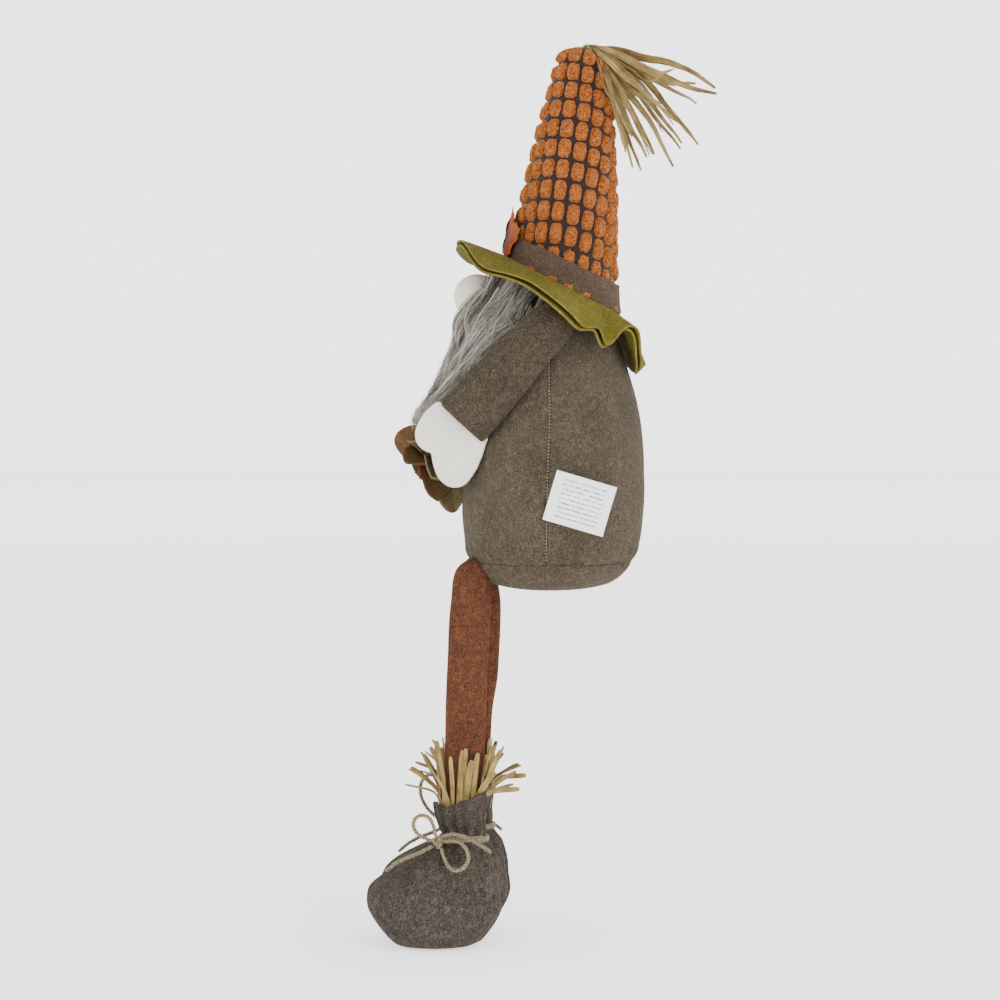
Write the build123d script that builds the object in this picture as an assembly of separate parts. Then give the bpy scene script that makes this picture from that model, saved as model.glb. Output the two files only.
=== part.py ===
"""Shelf-sitting scarecrow gnome: stuffed felt body, corn-cob hat, brim, arms, legs and sack feet.

Frame: millimetres, front -Y, up +Z, the figure's left +X.
The origin is the middle of the flat underside that it sits on.
"""

import math
import os

from build123d import *

os.makedirs("parts", exist_ok=True)

# ---- driving dimensions -------------------------------------------------------------------
FELT = 1.5                      # body felt
SACK_FELT = 1.2                 # foot sacks
SEAM_Y = 1.0                    # side seams, between front and back panel
BASE_SEAM_Z = 17.0              # seam between the panels and the base
PELLET_TOP_Z = 32.0             # fill line of the weight bag

HAT_TILT = 30.0                 # brim and band slope down to the back
HAT_SEAT = (0, 4, 187)          # middle of the brim's inner edge
HAT_LEAN = 4.8                  # the cone leans back
HAT_FOOT_RADIUS = 33.0          # cone radius level with the hat seat
HAT_TOP_RADIUS = 13.0
HAT_HEIGHT = 147.0              # from the hat seat to the cone's top
HAT_FELT = 1.5
BAND_HEIGHT = 15.0
BRIM_RADIUS = 69.0
BRIM_DROP = 12.0                # the rim hangs this far under the inner edge
BRIM_FELT = 1.2
KERNEL_ROWS = 11
KERNEL_COLUMNS = 16
KERNEL_PITCH = 12.2
KERNEL_SIZE = (9.0, 3.0, 10.6)  # at the hat's foot: across, out, up

NOSE_RADIUS = 14.5
NOSE_PLACE = (0, -48.5, 180.5)
BEARD_PIVOT = (-44.0, 157.0)    # Y and Z where the loose part of the beard folds

SHOULDER = (-3.5, 162.5)        # Y and Z of the arms' axis
HAND_THICK = 7.0
HAND_TURN = -18.0               # the hands close in towards the flower

FLOWER_PLACE = (0, -77.5, 77.0)
FLOWER_RADIUS = 30.0
FLOWER_PITCH = 37.0             # the flower faces forward and down

LEG_X = 28.0
LEG_Y = -53.5
LEG_WIDTH = 24.0
LEG_THICK = 16.0
HIP_Z = 9.0
KNEE_Z = -52.0
ANKLE_Z = -112.0
PIVOT_GAP = 0.4                 # between two lengths of a leg at their fold

NECK_Y = -54.5                  # where the twine closes the sack
NECK_Z = -153.5
NECK_RADIUS = 13.3
MOUTH_Y = -56.5
MOUTH_Z = -130.0
MOUTH_RADIUS = 18.0
STRAW_STRIPS = 22
STRAW_THICK = 0.5
TWINE = 2.4
KNOT_RADIUS = 3.4
KNOT_PLACE = (41.5, -69.0, -155.0)


def save(shape, name):
    export_step(shape, f"parts/{name}.step")


def both(shape, name):
    """Save a piece of the left side, and its mirror image for the right side."""
    save(shape, f"left_{name}")
    save(mirror(shape, about=Plane.YZ), f"right_{name}")


# ---- body ---------------------------------------------------------------------------------
# Height, front Y, back Y, half width.
BODY_SECTIONS = [
    (0.0, -30.0, 26.0, 42.0),
    (2.5, -41.0, 37.0, 54.0),
    (8.0, -48.0, 44.0, 60.0),
    (20.0, -54.5, 50.5, 66.0),
    (45.0, -57.5, 55.5, 70.0),
    (70.0, -57.0, 56.0, 70.0),
    (105.0, -52.0, 53.0, 65.0),
    (136.0, -46.0, 45.5, 57.0),
    (160.0, -37.5, 38.0, 47.5),
    (180.0, -28.5, 32.0, 36.0),
    (203.0, -21.0, 30.0, 25.0),
    (215.0, -11.0, 24.0, 17.0),
]


def section_loft(sections, inset, x=0.0):
    """Loft through level ellipses, each pulled in by the inset."""
    rings = []
    for z, front, back, half in sections:
        ring = Ellipse(half - inset, (back - front) / 2 - inset)
        rings.append(Pos(x, (front + back) / 2, z) * ring)
    return loft(rings)


def above(z):
    return Pos(0, 0, z + 500) * Box(1000, 1000, 1000)


def below(z):
    return Pos(0, 0, z - 500) * Box(1000, 1000, 1000)


def body_inside():
    """The stuffed space: the body pulled in by one felt, and closed at both ends."""
    whole = section_loft(BODY_SECTIONS, FELT)
    top = BODY_SECTIONS[-1][0] - FELT
    return whole & above(FELT) & below(top)


def hat_ring():
    """The hat's skin and band, from just below the brim up."""
    return (hat_solid(2.6) - hat_solid(-HAT_FELT)) & seat_slab(-4.2, 60)


def make_body():
    """Front and back panel and base, felt outside, with the stuffing and the weight bag inside."""
    outside = section_loft(BODY_SECTIONS, 0)
    hat = hat_ring()
    inside = body_inside()
    shell = outside - inside
    front_half = Pos(0, SEAM_Y - 500, 0) * Box(1000, 1000, 1000)
    walls = (shell & above(BASE_SEAM_Z)) - hat
    save(walls & front_half, "body_front_panel")
    save(walls - front_half, "body_back_panel")
    save(shell & below(BASE_SEAM_Z), "base_panel")
    save(inside & below(PELLET_TOP_Z), "pellet_bag")
    save((inside & above(PELLET_TOP_Z)) - hat, "body_stuffing")

    thread = section_loft(BODY_SECTIONS, -0.4) - outside
    thread = thread & Pos(0, SEAM_Y, 88) * Box(200, 0.8, 136)
    save(thread, "side_seam_threads")
    return outside


# ---- hat ----------------------------------------------------------------------------------
hat_axis = Pos(*HAT_SEAT) * Rot(X=-HAT_LEAN)
hat_seat = Pos(*HAT_SEAT) * Rot(X=-HAT_TILT)


def cone_radius(height):
    return HAT_FOOT_RADIUS + (HAT_TOP_RADIUS - HAT_FOOT_RADIUS) * height / HAT_HEIGHT


def hat_solid(grow, low=-30.0, high=HAT_HEIGHT):
    """The cone about its own axis, grown or shrunk, with its lower end left long."""
    foot = cone_radius(low) + grow
    top = cone_radius(high) + grow
    return hat_axis * Pos(0, 0, (low + high) / 2) * Cone(foot, top, high - low)


def seat_slab(low, high):
    """Everything between two heights above the tilted hat seat."""
    return hat_seat * Pos(0, 0, (low + high) / 2) * Box(400, 400, high - low)


def make_hat(body):
    skin = hat_solid(0) - hat_solid(-HAT_FELT, high=HAT_HEIGHT - HAT_FELT)
    skin = skin & seat_slab(-4, 300)
    save(skin, "hat_cone")
    inside = hat_solid(-HAT_FELT, high=HAT_HEIGHT - HAT_FELT) & seat_slab(-4, 300)
    save(inside - body, "hat_stuffing")

    band = hat_solid(2.4) - hat_solid(0)
    save(band & seat_slab(0, BAND_HEIGHT), "hat_band")


def make_brim():
    """Two felt rings, one on the other, that slope down to the rim."""
    inner = HAT_FOOT_RADIUS - 4
    for name, base in (("brim_upper", -BRIM_FELT), ("brim_lower", -2 * BRIM_FELT)):
        fall = BRIM_DROP / (BRIM_RADIUS - HAT_FOOT_RADIUS)
        at_inner = base + fall * (HAT_FOOT_RADIUS - inner)
        section = Polyline(
            (inner, 0, at_inner),
            (BRIM_RADIUS, 0, base - BRIM_DROP),
            (BRIM_RADIUS, 0, base - BRIM_DROP + BRIM_FELT),
            (inner, 0, at_inner + BRIM_FELT),
            close=True,
        )
        ring = revolve(make_face(section), Axis.Z)
        save(hat_seat * ring - hat_solid(2.4, low=-60), name)


def make_kernels():
    """Raised corn kernels in rows round the cone, smaller towards the top."""
    kernels = []
    for row in range(KERNEL_ROWS):
        height = HAT_HEIGHT - 9.5 - row * KERNEL_PITCH
        radius = cone_radius(height)
        shrink = radius / HAT_FOOT_RADIUS
        slope = math.degrees(math.atan((HAT_FOOT_RADIUS - HAT_TOP_RADIUS) / HAT_HEIGHT))
        for column in range(KERNEL_COLUMNS):
            turn = 360 * column / KERNEL_COLUMNS
            kernel = Box(KERNEL_SIZE[0] * shrink, KERNEL_SIZE[1], KERNEL_SIZE[2])
            out = radius + KERNEL_SIZE[1] / 2 + 0.05
            place = hat_axis * Pos(0, 0, height) * Rot(Z=turn) * Pos(0, -out, 0) * Rot(X=-slope)
            above_seat = hat_seat.inverse() * place
            if above_seat.position.Z > BAND_HEIGHT + 6:
                kernels.append(place * kernel)
    save(Compound(children=kernels), "hat_kernels")


def leaf_face(radius, lobes):
    """A lobed leaf: a ring of long and short points."""
    corners = []
    for step in range(2 * lobes):
        reach = radius if step % 2 == 0 else radius * 0.5
        turn = math.radians(90 + 180 * step / lobes)
        corners.append((reach * math.cos(turn), reach * math.sin(turn)))
    return make_face(Polyline(*corners, close=True))


def make_leaves():
    """Two silk leaves that stand on the brim against the front of the hat."""
    large = Pos(9, -34.5, 223) * Rot(X=83) * extrude(leaf_face(19, 5), 0.6)
    small = Pos(-17, -31.5, 219) * Rot(X=83) * Rot(Z=25) * extrude(leaf_face(13, 5), 0.6)
    save(large, "hat_leaf_large")
    save(small, "hat_leaf_small")


# One layer of raffia: start height over the cone's top, reach, and fall of its end.
TASSEL_LAYERS = [
    (5.8, 78.0, 18.0),
    (4.4, 66.0, 46.0),
    (3.0, 46.0, 78.0),
]
TASSEL_TIE_RADIUS = 5.0


def raffia_strip(start, reach, fall, width):
    """A thin band in an upright plane that leaves level and curves down to its end."""
    inner = TASSEL_TIE_RADIUS + 0.6
    under = []
    for step in range(9):
        part = step / 8
        under.append((inner + (reach - inner) * part ** 0.8, 0, start - fall * part ** 2.2))
    over = [(x, 0, z + STRAW_THICK) for x, y, z in under]
    outline = Polyline(*under, *over[::-1], close=True)
    return extrude(make_face(outline), amount=width / 2, dir=(0, 1, 0), both=True)


def make_tassel():
    """Raffia strips that spring from a tie on the hat's top and fall to the back."""
    tip = hat_axis * Pos(0, 0, HAT_HEIGHT)
    level = Pos(*tip.position)
    tie = level * Pos(0, 0, 4.0) * Cylinder(TASSEL_TIE_RADIUS, 6.0)
    save(tie, "tassel_tie")
    strips = []
    for start, reach, fall in TASSEL_LAYERS:
        for spread in range(-3, 4):
            shorter = 1 - 0.05 * (spread % 3)
            strip = raffia_strip(start, reach * shorter, fall * shorter, 2.6)
            strips.append(level * Rot(Z=90 + 26 * spread) * strip)
    save(Compound(children=strips), "tassel_strips")


# ---- face ---------------------------------------------------------------------------------
def make_face_pieces(body):
    nose = Pos(*NOSE_PLACE) * Sphere(NOSE_RADIUS)
    save(nose - body, "nose_ball")

    # The sewn top of the beard lies round the nose, between the body and the brim.
    top = Pos(0, -41, 173.5) * Box(68, 20, 20)
    top = top - body - Pos(*NOSE_PLACE) * Sphere(NOSE_RADIUS + 0.3)
    save(top, "beard_top")


# Y and Z of the loose beard's side outline, from its fold down the front and back up.
BEARD_FRONT = [(-50.5, 160.0), (-58.0, 152.0), (-68.0, 138.0), (-78.0, 122.0), (-86.0, 107.5)]
BEARD_BACK = [(-76.0, 107.5), (-64.0, 122.0), (-57.5, 136.0), (-50.0, 150.0), (-46.0, 160.0)]


def side_profile(points):
    """A face in the plane X = 0 from Y, Z pairs."""
    return make_face(Polyline(*[(0, y, z) for y, z in points], close=True))


def make_beard():
    """Loose fur on a cloth backing, hanging over the hands and hinged at its top."""
    profile = side_profile(BEARD_FRONT + BEARD_BACK)
    slab = extrude(profile, amount=35, dir=(1, 0, 0), both=True)
    taper = make_face(Polyline(
        (-33, 0, 162), (33, 0, 162), (30, 0, 135), (18, 0, 106), (-18, 0, 106), (-30, 0, 135), close=True,
    ))
    plan = extrude(taper, amount=150, dir=(0, -1, 0))
    save(slab & plan, "beard_fur")
    behind = [(y + 1.6, z) for y, z in BEARD_BACK]
    backing = side_profile([(y + 0.1, z) for y, z in BEARD_BACK] + behind[::-1])
    backing = extrude(backing, amount=35, dir=(1, 0, 0), both=True)
    save(backing & plan, "beard_backing")


# ---- arms ---------------------------------------------------------------------------------
# Distance from the shoulder, middle X, width and thickness of each cut across the sleeve.
SLEEVE_STATIONS = [
    (0.0, 57.0, 24.0, 16.0),
    (16.0, 61.5, 31.0, 18.0),
    (40.0, 62.5, 34.0, 18.5),
    (62.0, 58.5, 35.0, 18.0),
    (79.5, 51.5, 35.0, 15.0),
]
CUFF_MIDDLE = (-57.0, 104.0)
HAND_CORNER = (50.0, -42.5, 93.0)
# Along and up from the cuff's back corner, in the hand's own plane.
HAND_OUTLINE = [
    (0.0, 0.0),
    (-3.4, -11.8),
    (-12.6, -27.7),
    (-20.3, -31.0),
    (-28.0, -28.6),
    (-33.3, -22.4),
    (-36.8, -9.0),
]
HAND_THUMB = [(-36.8, -9.0), (-43.4, -6.5), (-46.7, -0.6), (-45.3, 6.2), (-40.0, 14.5), (-30.6, 20.6)]


def sleeve_direction():
    y = CUFF_MIDDLE[0] - SHOULDER[0]
    z = CUFF_MIDDLE[1] - SHOULDER[1]
    length = math.hypot(y, z)
    return y / length, z / length


def sleeve_loft(inset):
    """Loft along the arm through ellipses set square to it."""
    along_y, along_z = sleeve_direction()
    rings = []
    for distance, x, width, thick in SLEEVE_STATIONS:
        middle = (x, SHOULDER[0] + along_y * distance, SHOULDER[1] + along_z * distance)
        plane = Plane(origin=middle, x_dir=(1, 0, 0), z_dir=(0, along_y, along_z))
        rings.append(plane * Ellipse(thick / 2 - inset, width / 2 - inset))
    return loft(rings)


def make_arm():
    along_y, along_z = sleeve_direction()
    outside = sleeve_loft(0)
    first = SLEEVE_STATIONS[0]
    cap = Pos(first[1], *SHOULDER) * Rot(Y=90) * Cylinder(first[2] / 2 - 0.5, first[3] - 6)
    inside = sleeve_loft(FELT)
    both((outside + cap) - inside, "sleeve")
    both(inside, "arm_stuffing")

    hand_plane = Plane(origin=HAND_CORNER, x_dir=(0, 1, 0), z_dir=(1, 0, 0))
    palm = Spline(*HAND_OUTLINE)
    thumb = Spline(*HAND_THUMB)
    cuff = Line(HAND_THUMB[-1], HAND_OUTLINE[0])
    face = make_face([palm, thumb, cuff])
    hand = Pos(*HAND_CORNER) * Rot(Z=HAND_TURN) * Pos(*[-v for v in HAND_CORNER]) * (
        hand_plane * extrude(face, HAND_THICK / 2, both=True)
    )
    both(hand - outside, "hand")


def make_flower():
    """A fabric flower between the hands: two rings of petals and a soft middle."""
    facing = Pos(*FLOWER_PLACE) * Rot(X=90 + FLOWER_PITCH)
    petals = leaf_face(FLOWER_RADIUS, 12)
    hole = Cylinder(11.2, 40)
    save(facing * (extrude(petals, 2.0)), "flower_back_petals")
    front = Pos(0, 0, 2.1) * Rot(Z=15) * extrude(petals, 5.0)
    save(facing * (front - hole), "flower_front_petals")
    save(facing * Pos(0, 0, 6.6) * Cylinder(11, 9), "flower_middle")


# ---- legs ---------------------------------------------------------------------------------
def tube(z_low, z_high, width=LEG_WIDTH, thick=LEG_THICK):
    return Pos(LEG_X, LEG_Y, (z_low + z_high) / 2) * extrude(
        Ellipse(thick / 2, width / 2), (z_high - z_low) / 2, both=True
    )


def wedge(z, up, gap):
    """What is left of a leg beside a fold: a 45 degree point that starts at the fold's axis."""
    reach = 60 if up else -60
    shift = gap if up else -gap
    corners = [(LEG_Y, z + shift), (LEG_Y - 60, z + shift + reach), (LEG_Y + 60, z + shift + reach)]
    profile = side_profile(corners)
    return Pos(LEG_X, 0, 0) * extrude(profile, amount=30, dir=(1, 0, 0), both=True)


def fold_pin(z, radius):
    return Pos(LEG_X, LEG_Y, z) * Rot(Y=90) * Cylinder(radius, LEG_THICK - 6)


def make_leg():
    """Two lengths of felt tube; each is thin at its fold, so that it can bend there."""
    upper = tube(KNEE_Z - 1, HIP_Z + 1) & wedge(HIP_Z + 5, False, 0) & wedge(KNEE_Z + 1, True, 0)
    upper = upper - fold_pin(KNEE_Z, 3.2 + PIVOT_GAP)
    upper = upper + fold_pin(HIP_Z, 5)
    both(upper, "leg_upper")
    lower = tube(ANKLE_Z - 1, KNEE_Z + 1) & wedge(KNEE_Z + 1, False, 0) & wedge(ANKLE_Z + 1, True, 0)
    lower = lower - fold_pin(ANKLE_Z, 3.2 + PIVOT_GAP)
    lower = lower + fold_pin(KNEE_Z, 3.2)
    both(lower, "leg_lower")
    ankle = tube(NECK_Z - 4, ANKLE_Z, 18, 13) & wedge(ANKLE_Z + 1, False, 0)
    ankle = ankle + fold_pin(ANKLE_Z, 3.2)
    both(ankle, "leg_ankle")


# ---- feet ---------------------------------------------------------------------------------
SACK_SECTIONS = [
    (-221.5, -92.0, -56.0, 12.0),
    (-218.0, -99.0, -47.0, 19.0),
    (-209.0, -108.5, -36.0, 24.0),
    (-196.0, -115.5, -28.5, 25.5),
    (-183.0, -112.0, -29.0, 25.5),
    (-172.0, -97.0, -31.5, 23.0),
    (-163.0, -79.0, -36.0, 18.0),
    (-156.0, NECK_Y - NECK_RADIUS, NECK_Y + NECK_RADIUS, NECK_RADIUS),
    (-151.0, NECK_Y - NECK_RADIUS, NECK_Y + NECK_RADIUS, NECK_RADIUS),
    (-141.0, MOUTH_Y - 15.5, MOUTH_Y + 15.5, 15.5),
    (MOUTH_Z, MOUTH_Y - MOUTH_RADIUS, MOUTH_Y + MOUTH_RADIUS, MOUTH_RADIUS),
]


def make_sack():
    outside = section_loft(SACK_SECTIONS, 0, LEG_X)
    inside = section_loft(SACK_SECTIONS, SACK_FELT, LEG_X)
    inside = inside & above(SACK_SECTIONS[0][0] + SACK_FELT)
    both(outside - inside, "foot_sack")
    both(inside & below(NECK_Z - 4.3), "foot_stuffing")


def make_straw():
    """Straw strips that fan out of the sack's mouth, each in its own upright plane."""
    strips = []
    for index in range(STRAW_STRIPS):
        turn = 360 * index / STRAW_STRIPS
        lean = (14, 38, 22, 66, 30, 80, 18)[index % 7]
        length = (29, 22, 26, 20, 27, 19, 24)[index % 7]
        if 130 < turn < 235:
            lean = min(lean, 16)        # beside the other foot
        if 285 < turn < 330:
            lean = min(lean, 20)        # beside the bow
        strip = Pos(0, 0, length / 2 - 2.5) * Box(STRAW_THICK, 2.7, length)
        place = Pos(LEG_X, MOUTH_Y, MOUTH_Z + 1.2) * Rot(Z=turn) * Pos(15.2, 0, 0) * Rot(Y=lean)
        strips.append(place * strip)
    both(Compound(children=strips), "straw")


# ---- twine --------------------------------------------------------------------------------
LOOP_UPPER = [
    (41.5, -72.9, -154.0),
    (42.5, -78.0, -152.4),
    (44.0, -83.0, -148.5),
    (45.0, -85.0, -142.5),
    (44.5, -81.0, -137.5),
    (43.5, -75.0, -138.5),
    (42.3, -71.8, -144.5),
    (41.5, -70.7, -151.4),
]
LOOP_UPPER_TALL = [
    (41.5, -72.9, -154.0),
    (42.5, -78.5, -151.0),
    (44.0, -84.5, -145.5),
    (45.5, -88.5, -138.0),
    (46.0, -88.5, -130.0),
    (45.8, -84.5, -124.5),
    (45.0, -79.0, -124.5),
    (43.8, -75.0, -130.0),
    (42.8, -72.8, -138.0),
    (41.5, -70.7, -151.4),
]
LOOP_LOWER = [
    (42.5, -65.1, -154.3),
    (45.5, -60.5, -153.0),
    (48.0, -55.0, -153.5),
    (51.5, -50.5, -157.5),
    (54.5, -49.0, -163.5),
    (56.5, -52.5, -169.0),
    (55.5, -58.5, -170.5),
    (51.0, -64.0, -166.0),
    (44.2, -66.9, -158.4),
]
TAIL_FRONT = [
    (41.5, -72.5, -157.0),
    (42.5, -77.5, -160.0),
    (43.5, -83.5, -162.5),
    (43.0, -90.0, -165.0),
    (41.5, -96.5, -168.5),
    (39.0, -102.0, -173.5),
]
TAIL_BACK = [
    (41.5, -67.0, -151.5),
    (44.5, -62.5, -149.3),
    (47.5, -56.5, -149.0),
    (49.5, -49.5, -151.0),
    (49.5, -42.5, -155.0),
    (47.5, -36.0, -160.0),
]


def twine_tube(name, points):
    """A round tube along straight runs joined by arcs; prints its length and radii."""
    corners = [Vector(*p) for p in points]
    radii = []
    for before, here, after in zip(corners, corners[1:], corners[2:]):
        run = min((here - before).length, (after - here).length)
        turn = math.radians((here - before).get_angle(after - here))
        radii.append(0.45 * run / math.tan(turn / 2))
    path = FilletPolyline(*corners, radius=radii)
    section = Plane(origin=path @ 0, z_dir=path % 0) * Circle(TWINE / 2)
    solid = sweep(section, path=path, transition=Transition.RIGHT)
    expected = math.pi * (TWINE / 2) ** 2 * path.length
    listed = ", ".join(f"{radius:.1f}" for radius in radii)
    print(f"{name}: length {path.length:.1f}, volume {solid.volume / expected:.3f} of its own, radii {listed}")
    return solid


def make_twine():
    """On each sack: two turns round the neck, a knot, and a bow with two loops and two tails."""
    turns = Pos(LEG_X, NECK_Y, NECK_Z) * (
        Cylinder(NECK_RADIUS + 0.1 + TWINE, 2 * TWINE) - Cylinder(NECK_RADIUS + 0.1, 3 * TWINE)
    )
    sack = section_loft(SACK_SECTIONS, 0, LEG_X)
    both(turns - sack, "twine_wrap")
    both(Pos(*KNOT_PLACE) * Sphere(KNOT_RADIUS) - sack - turns, "twine_knot")
    both(twine_tube("loop_lower", LOOP_LOWER), "twine_loop_lower")
    both(twine_tube("tail_front", TAIL_FRONT), "twine_tail_front")
    both(twine_tube("tail_back", TAIL_BACK), "twine_tail_back")
    save(twine_tube("left loop_upper", LOOP_UPPER), "left_twine_loop_upper")
    tall = twine_tube("right loop_upper", LOOP_UPPER_TALL)
    save(mirror(tall, about=Plane.YZ), "right_twine_loop_upper")


# ---- care label ---------------------------------------------------------------------------
LABEL_WIDTH = 38.0
LABEL_HEIGHT = 31.0
LABEL_TILT = 14.0
LABEL_TURN = 9.0
LABEL_PLACE = (71.6, 1.0, 58.0)     # middle of the sewn edge


def make_label():
    """A cloth label sewn into the left side seam by one short edge."""
    label = Pos(0, LABEL_WIDTH / 2, 0) * Box(0.6, LABEL_WIDTH, LABEL_HEIGHT)
    save(Pos(*LABEL_PLACE) * Rot(Z=LABEL_TURN) * Rot(X=-LABEL_TILT) * label, "care_label")


body = make_body()
make_hat(body)
make_brim()
make_kernels()
make_leaves()
make_tassel()
make_face_pieces(body)
make_beard()
make_arm()
make_flower()
make_leg()
make_sack()
make_straw()
make_twine()
make_label()
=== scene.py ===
"""The looks of a shelf-sitting scarecrow gnome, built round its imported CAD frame. Lengths are in metres."""

import math
import random

import bmesh
import bpy
import numpy as np
from mathutils import Matrix, Vector, noise


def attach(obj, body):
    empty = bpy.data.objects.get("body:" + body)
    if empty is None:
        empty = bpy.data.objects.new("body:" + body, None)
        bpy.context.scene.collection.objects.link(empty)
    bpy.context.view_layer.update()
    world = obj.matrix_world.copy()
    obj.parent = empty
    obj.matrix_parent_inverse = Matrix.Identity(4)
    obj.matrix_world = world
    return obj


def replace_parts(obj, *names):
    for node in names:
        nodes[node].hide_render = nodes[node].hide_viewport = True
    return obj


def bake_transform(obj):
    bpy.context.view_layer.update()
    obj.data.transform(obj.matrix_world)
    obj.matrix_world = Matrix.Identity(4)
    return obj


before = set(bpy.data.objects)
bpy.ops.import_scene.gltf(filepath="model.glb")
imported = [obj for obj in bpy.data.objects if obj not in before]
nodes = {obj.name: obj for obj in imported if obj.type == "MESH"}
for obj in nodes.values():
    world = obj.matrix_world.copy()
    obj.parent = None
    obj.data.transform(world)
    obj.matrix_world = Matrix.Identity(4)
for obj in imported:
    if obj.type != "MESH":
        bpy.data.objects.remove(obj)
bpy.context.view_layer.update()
MM = 0.001


# ---- helpers ------------------------------------------------------------------------------
def linear(red, green, blue):
    """A colour given as 0 to 255 on a screen, as the shader's linear values."""
    values = []
    for channel in (red, green, blue):
        c = channel / 255
        values.append(c / 12.92 if c <= 0.04045 else ((c + 0.055) / 1.055) ** 2.4)
    return (*values, 1.0)


def through(values, t):
    """Smooth curve through evenly spaced rows of numbers; t runs from 0 to the last row."""
    values = np.asarray(values, float)
    last = len(values) - 1
    t = min(max(t, 0.0), last)
    i = min(int(t), last - 1)
    f = t - i
    p1, p2 = values[i], values[i + 1]
    p0 = values[i - 1] if i > 0 else 2 * p1 - p2
    p3 = values[i + 2] if i + 2 <= last else 2 * p2 - p1
    return 0.5 * (2 * p1 + (p2 - p0) * f + (2 * p0 - 5 * p1 + 4 * p2 - p3) * f * f
                  + (3 * p1 - p0 - 3 * p2 + p3) * f ** 3)


def at_key(table, key):
    """Smooth value from rows that start with a rising key."""
    keys = [row[0] for row in table]
    rows = [row[1:] for row in table]
    if key <= keys[0]:
        return np.asarray(rows[0], float)
    if key >= keys[-1]:
        return np.asarray(rows[-1], float)
    i = max(k for k in range(len(keys)) if keys[k] <= key)
    i = min(i, len(keys) - 2)
    f = (key - keys[i]) / (keys[i + 1] - keys[i])
    slopes = []
    for k in (i, i + 1):
        low, high = max(k - 1, 0), min(k + 1, len(keys) - 1)
        slopes.append((np.asarray(rows[high], float) - rows[low]) / (keys[high] - keys[low]))
    width = keys[i + 1] - keys[i]
    a, b = np.asarray(rows[i], float), np.asarray(rows[i + 1], float)
    return (a * (2 * f ** 3 - 3 * f ** 2 + 1) + b * (3 * f ** 2 - 2 * f ** 3)
            + slopes[0] * width * (f ** 3 - 2 * f ** 2 + f) + slopes[1] * width * (f ** 3 - f ** 2))


def ripple(x, y, z, size, seed=0.0):
    """Smooth noise between about -1 and 1 with features of this size; all in millimetres."""
    return noise.noise(Vector((x / size + seed, y / size - seed, z / size + 2 * seed)))


def add_piece(name, points, faces, material, body=None, uvs=None):
    """A mesh piece from points in millimetres."""
    mesh = bpy.data.meshes.new(name)
    mesh.from_pydata([[c * MM for c in p] for p in points], [], faces)
    mesh.validate()
    mesh.update()
    if uvs is not None:
        layer = mesh.uv_layers.new(name="UVMap")
        corner = np.zeros(len(mesh.loops), np.int32)
        mesh.loops.foreach_get("vertex_index", corner)
        layer.data.foreach_set("uv", np.asarray(uvs, np.float32)[corner].ravel())
    piece = bpy.data.objects.new(name, mesh)
    bpy.context.scene.collection.objects.link(piece)
    mesh.polygons.foreach_set("use_smooth", [True] * len(mesh.polygons))
    piece.data.materials.append(material)
    if body:
        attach(piece, body)
    return piece


def sheet_faces(rows, columns, closed=False, first=0):
    """Quads of a grid of points stored row by row."""
    faces = []
    for r in range(rows - 1):
        for c in range(columns if closed else columns - 1):
            n = (c + 1) % columns
            a, b = first + r * columns + c, first + r * columns + n
            faces.append((a, b, b + columns, a + columns))
    return faces


def tube_faces(rows, columns, flip=False):
    """Quads of a closed grid with a face at each end; flip turns the first one over."""
    faces = sheet_faces(rows, columns, closed=True)
    start = tuple(range(columns))
    faces.append(start[::-1] if flip else start)
    faces.append(tuple(range((rows - 1) * columns, rows * columns)))
    return faces


def flat_caps(piece):
    """Keep the many-sided end faces from shading into the sides."""
    for face in piece.data.polygons:
        if len(face.vertices) > 8:
            face.use_smooth = False


def modify(piece, kind, **settings):
    modifier = piece.modifiers.new(kind.title(), kind)
    for key, value in settings.items():
        setattr(modifier, key, value)


def apply_modifiers(piece):
    """Bake the modifiers into the mesh, and shade it smooth."""
    bpy.context.view_layer.update()
    graph = bpy.context.evaluated_depsgraph_get()
    mesh = bpy.data.meshes.new_from_object(piece.evaluated_get(graph))
    piece.modifiers.clear()
    piece.data = mesh
    mesh.polygons.foreach_set("use_smooth", [True] * len(mesh.polygons))


def outward(piece):
    """Make the faces point out."""
    b = bmesh.new()
    b.from_mesh(piece.data)
    bmesh.ops.recalc_face_normals(b, faces=b.faces)
    b.to_mesh(piece.data)
    b.free()


class Heap:
    """Many small bits gathered into one mesh, with a texture place for each point."""

    def __init__(self):
        self.points, self.faces, self.uvs = [], [], []

    def add(self, points, faces, uvs):
        first = len(self.points)
        self.points.extend(points)
        self.faces.extend([tuple(first + i for i in face) for face in faces])
        self.uvs.extend(uvs)

    def piece(self, name, material, body=None):
        return add_piece(name, self.points, self.faces, material, body, self.uvs)


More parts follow.
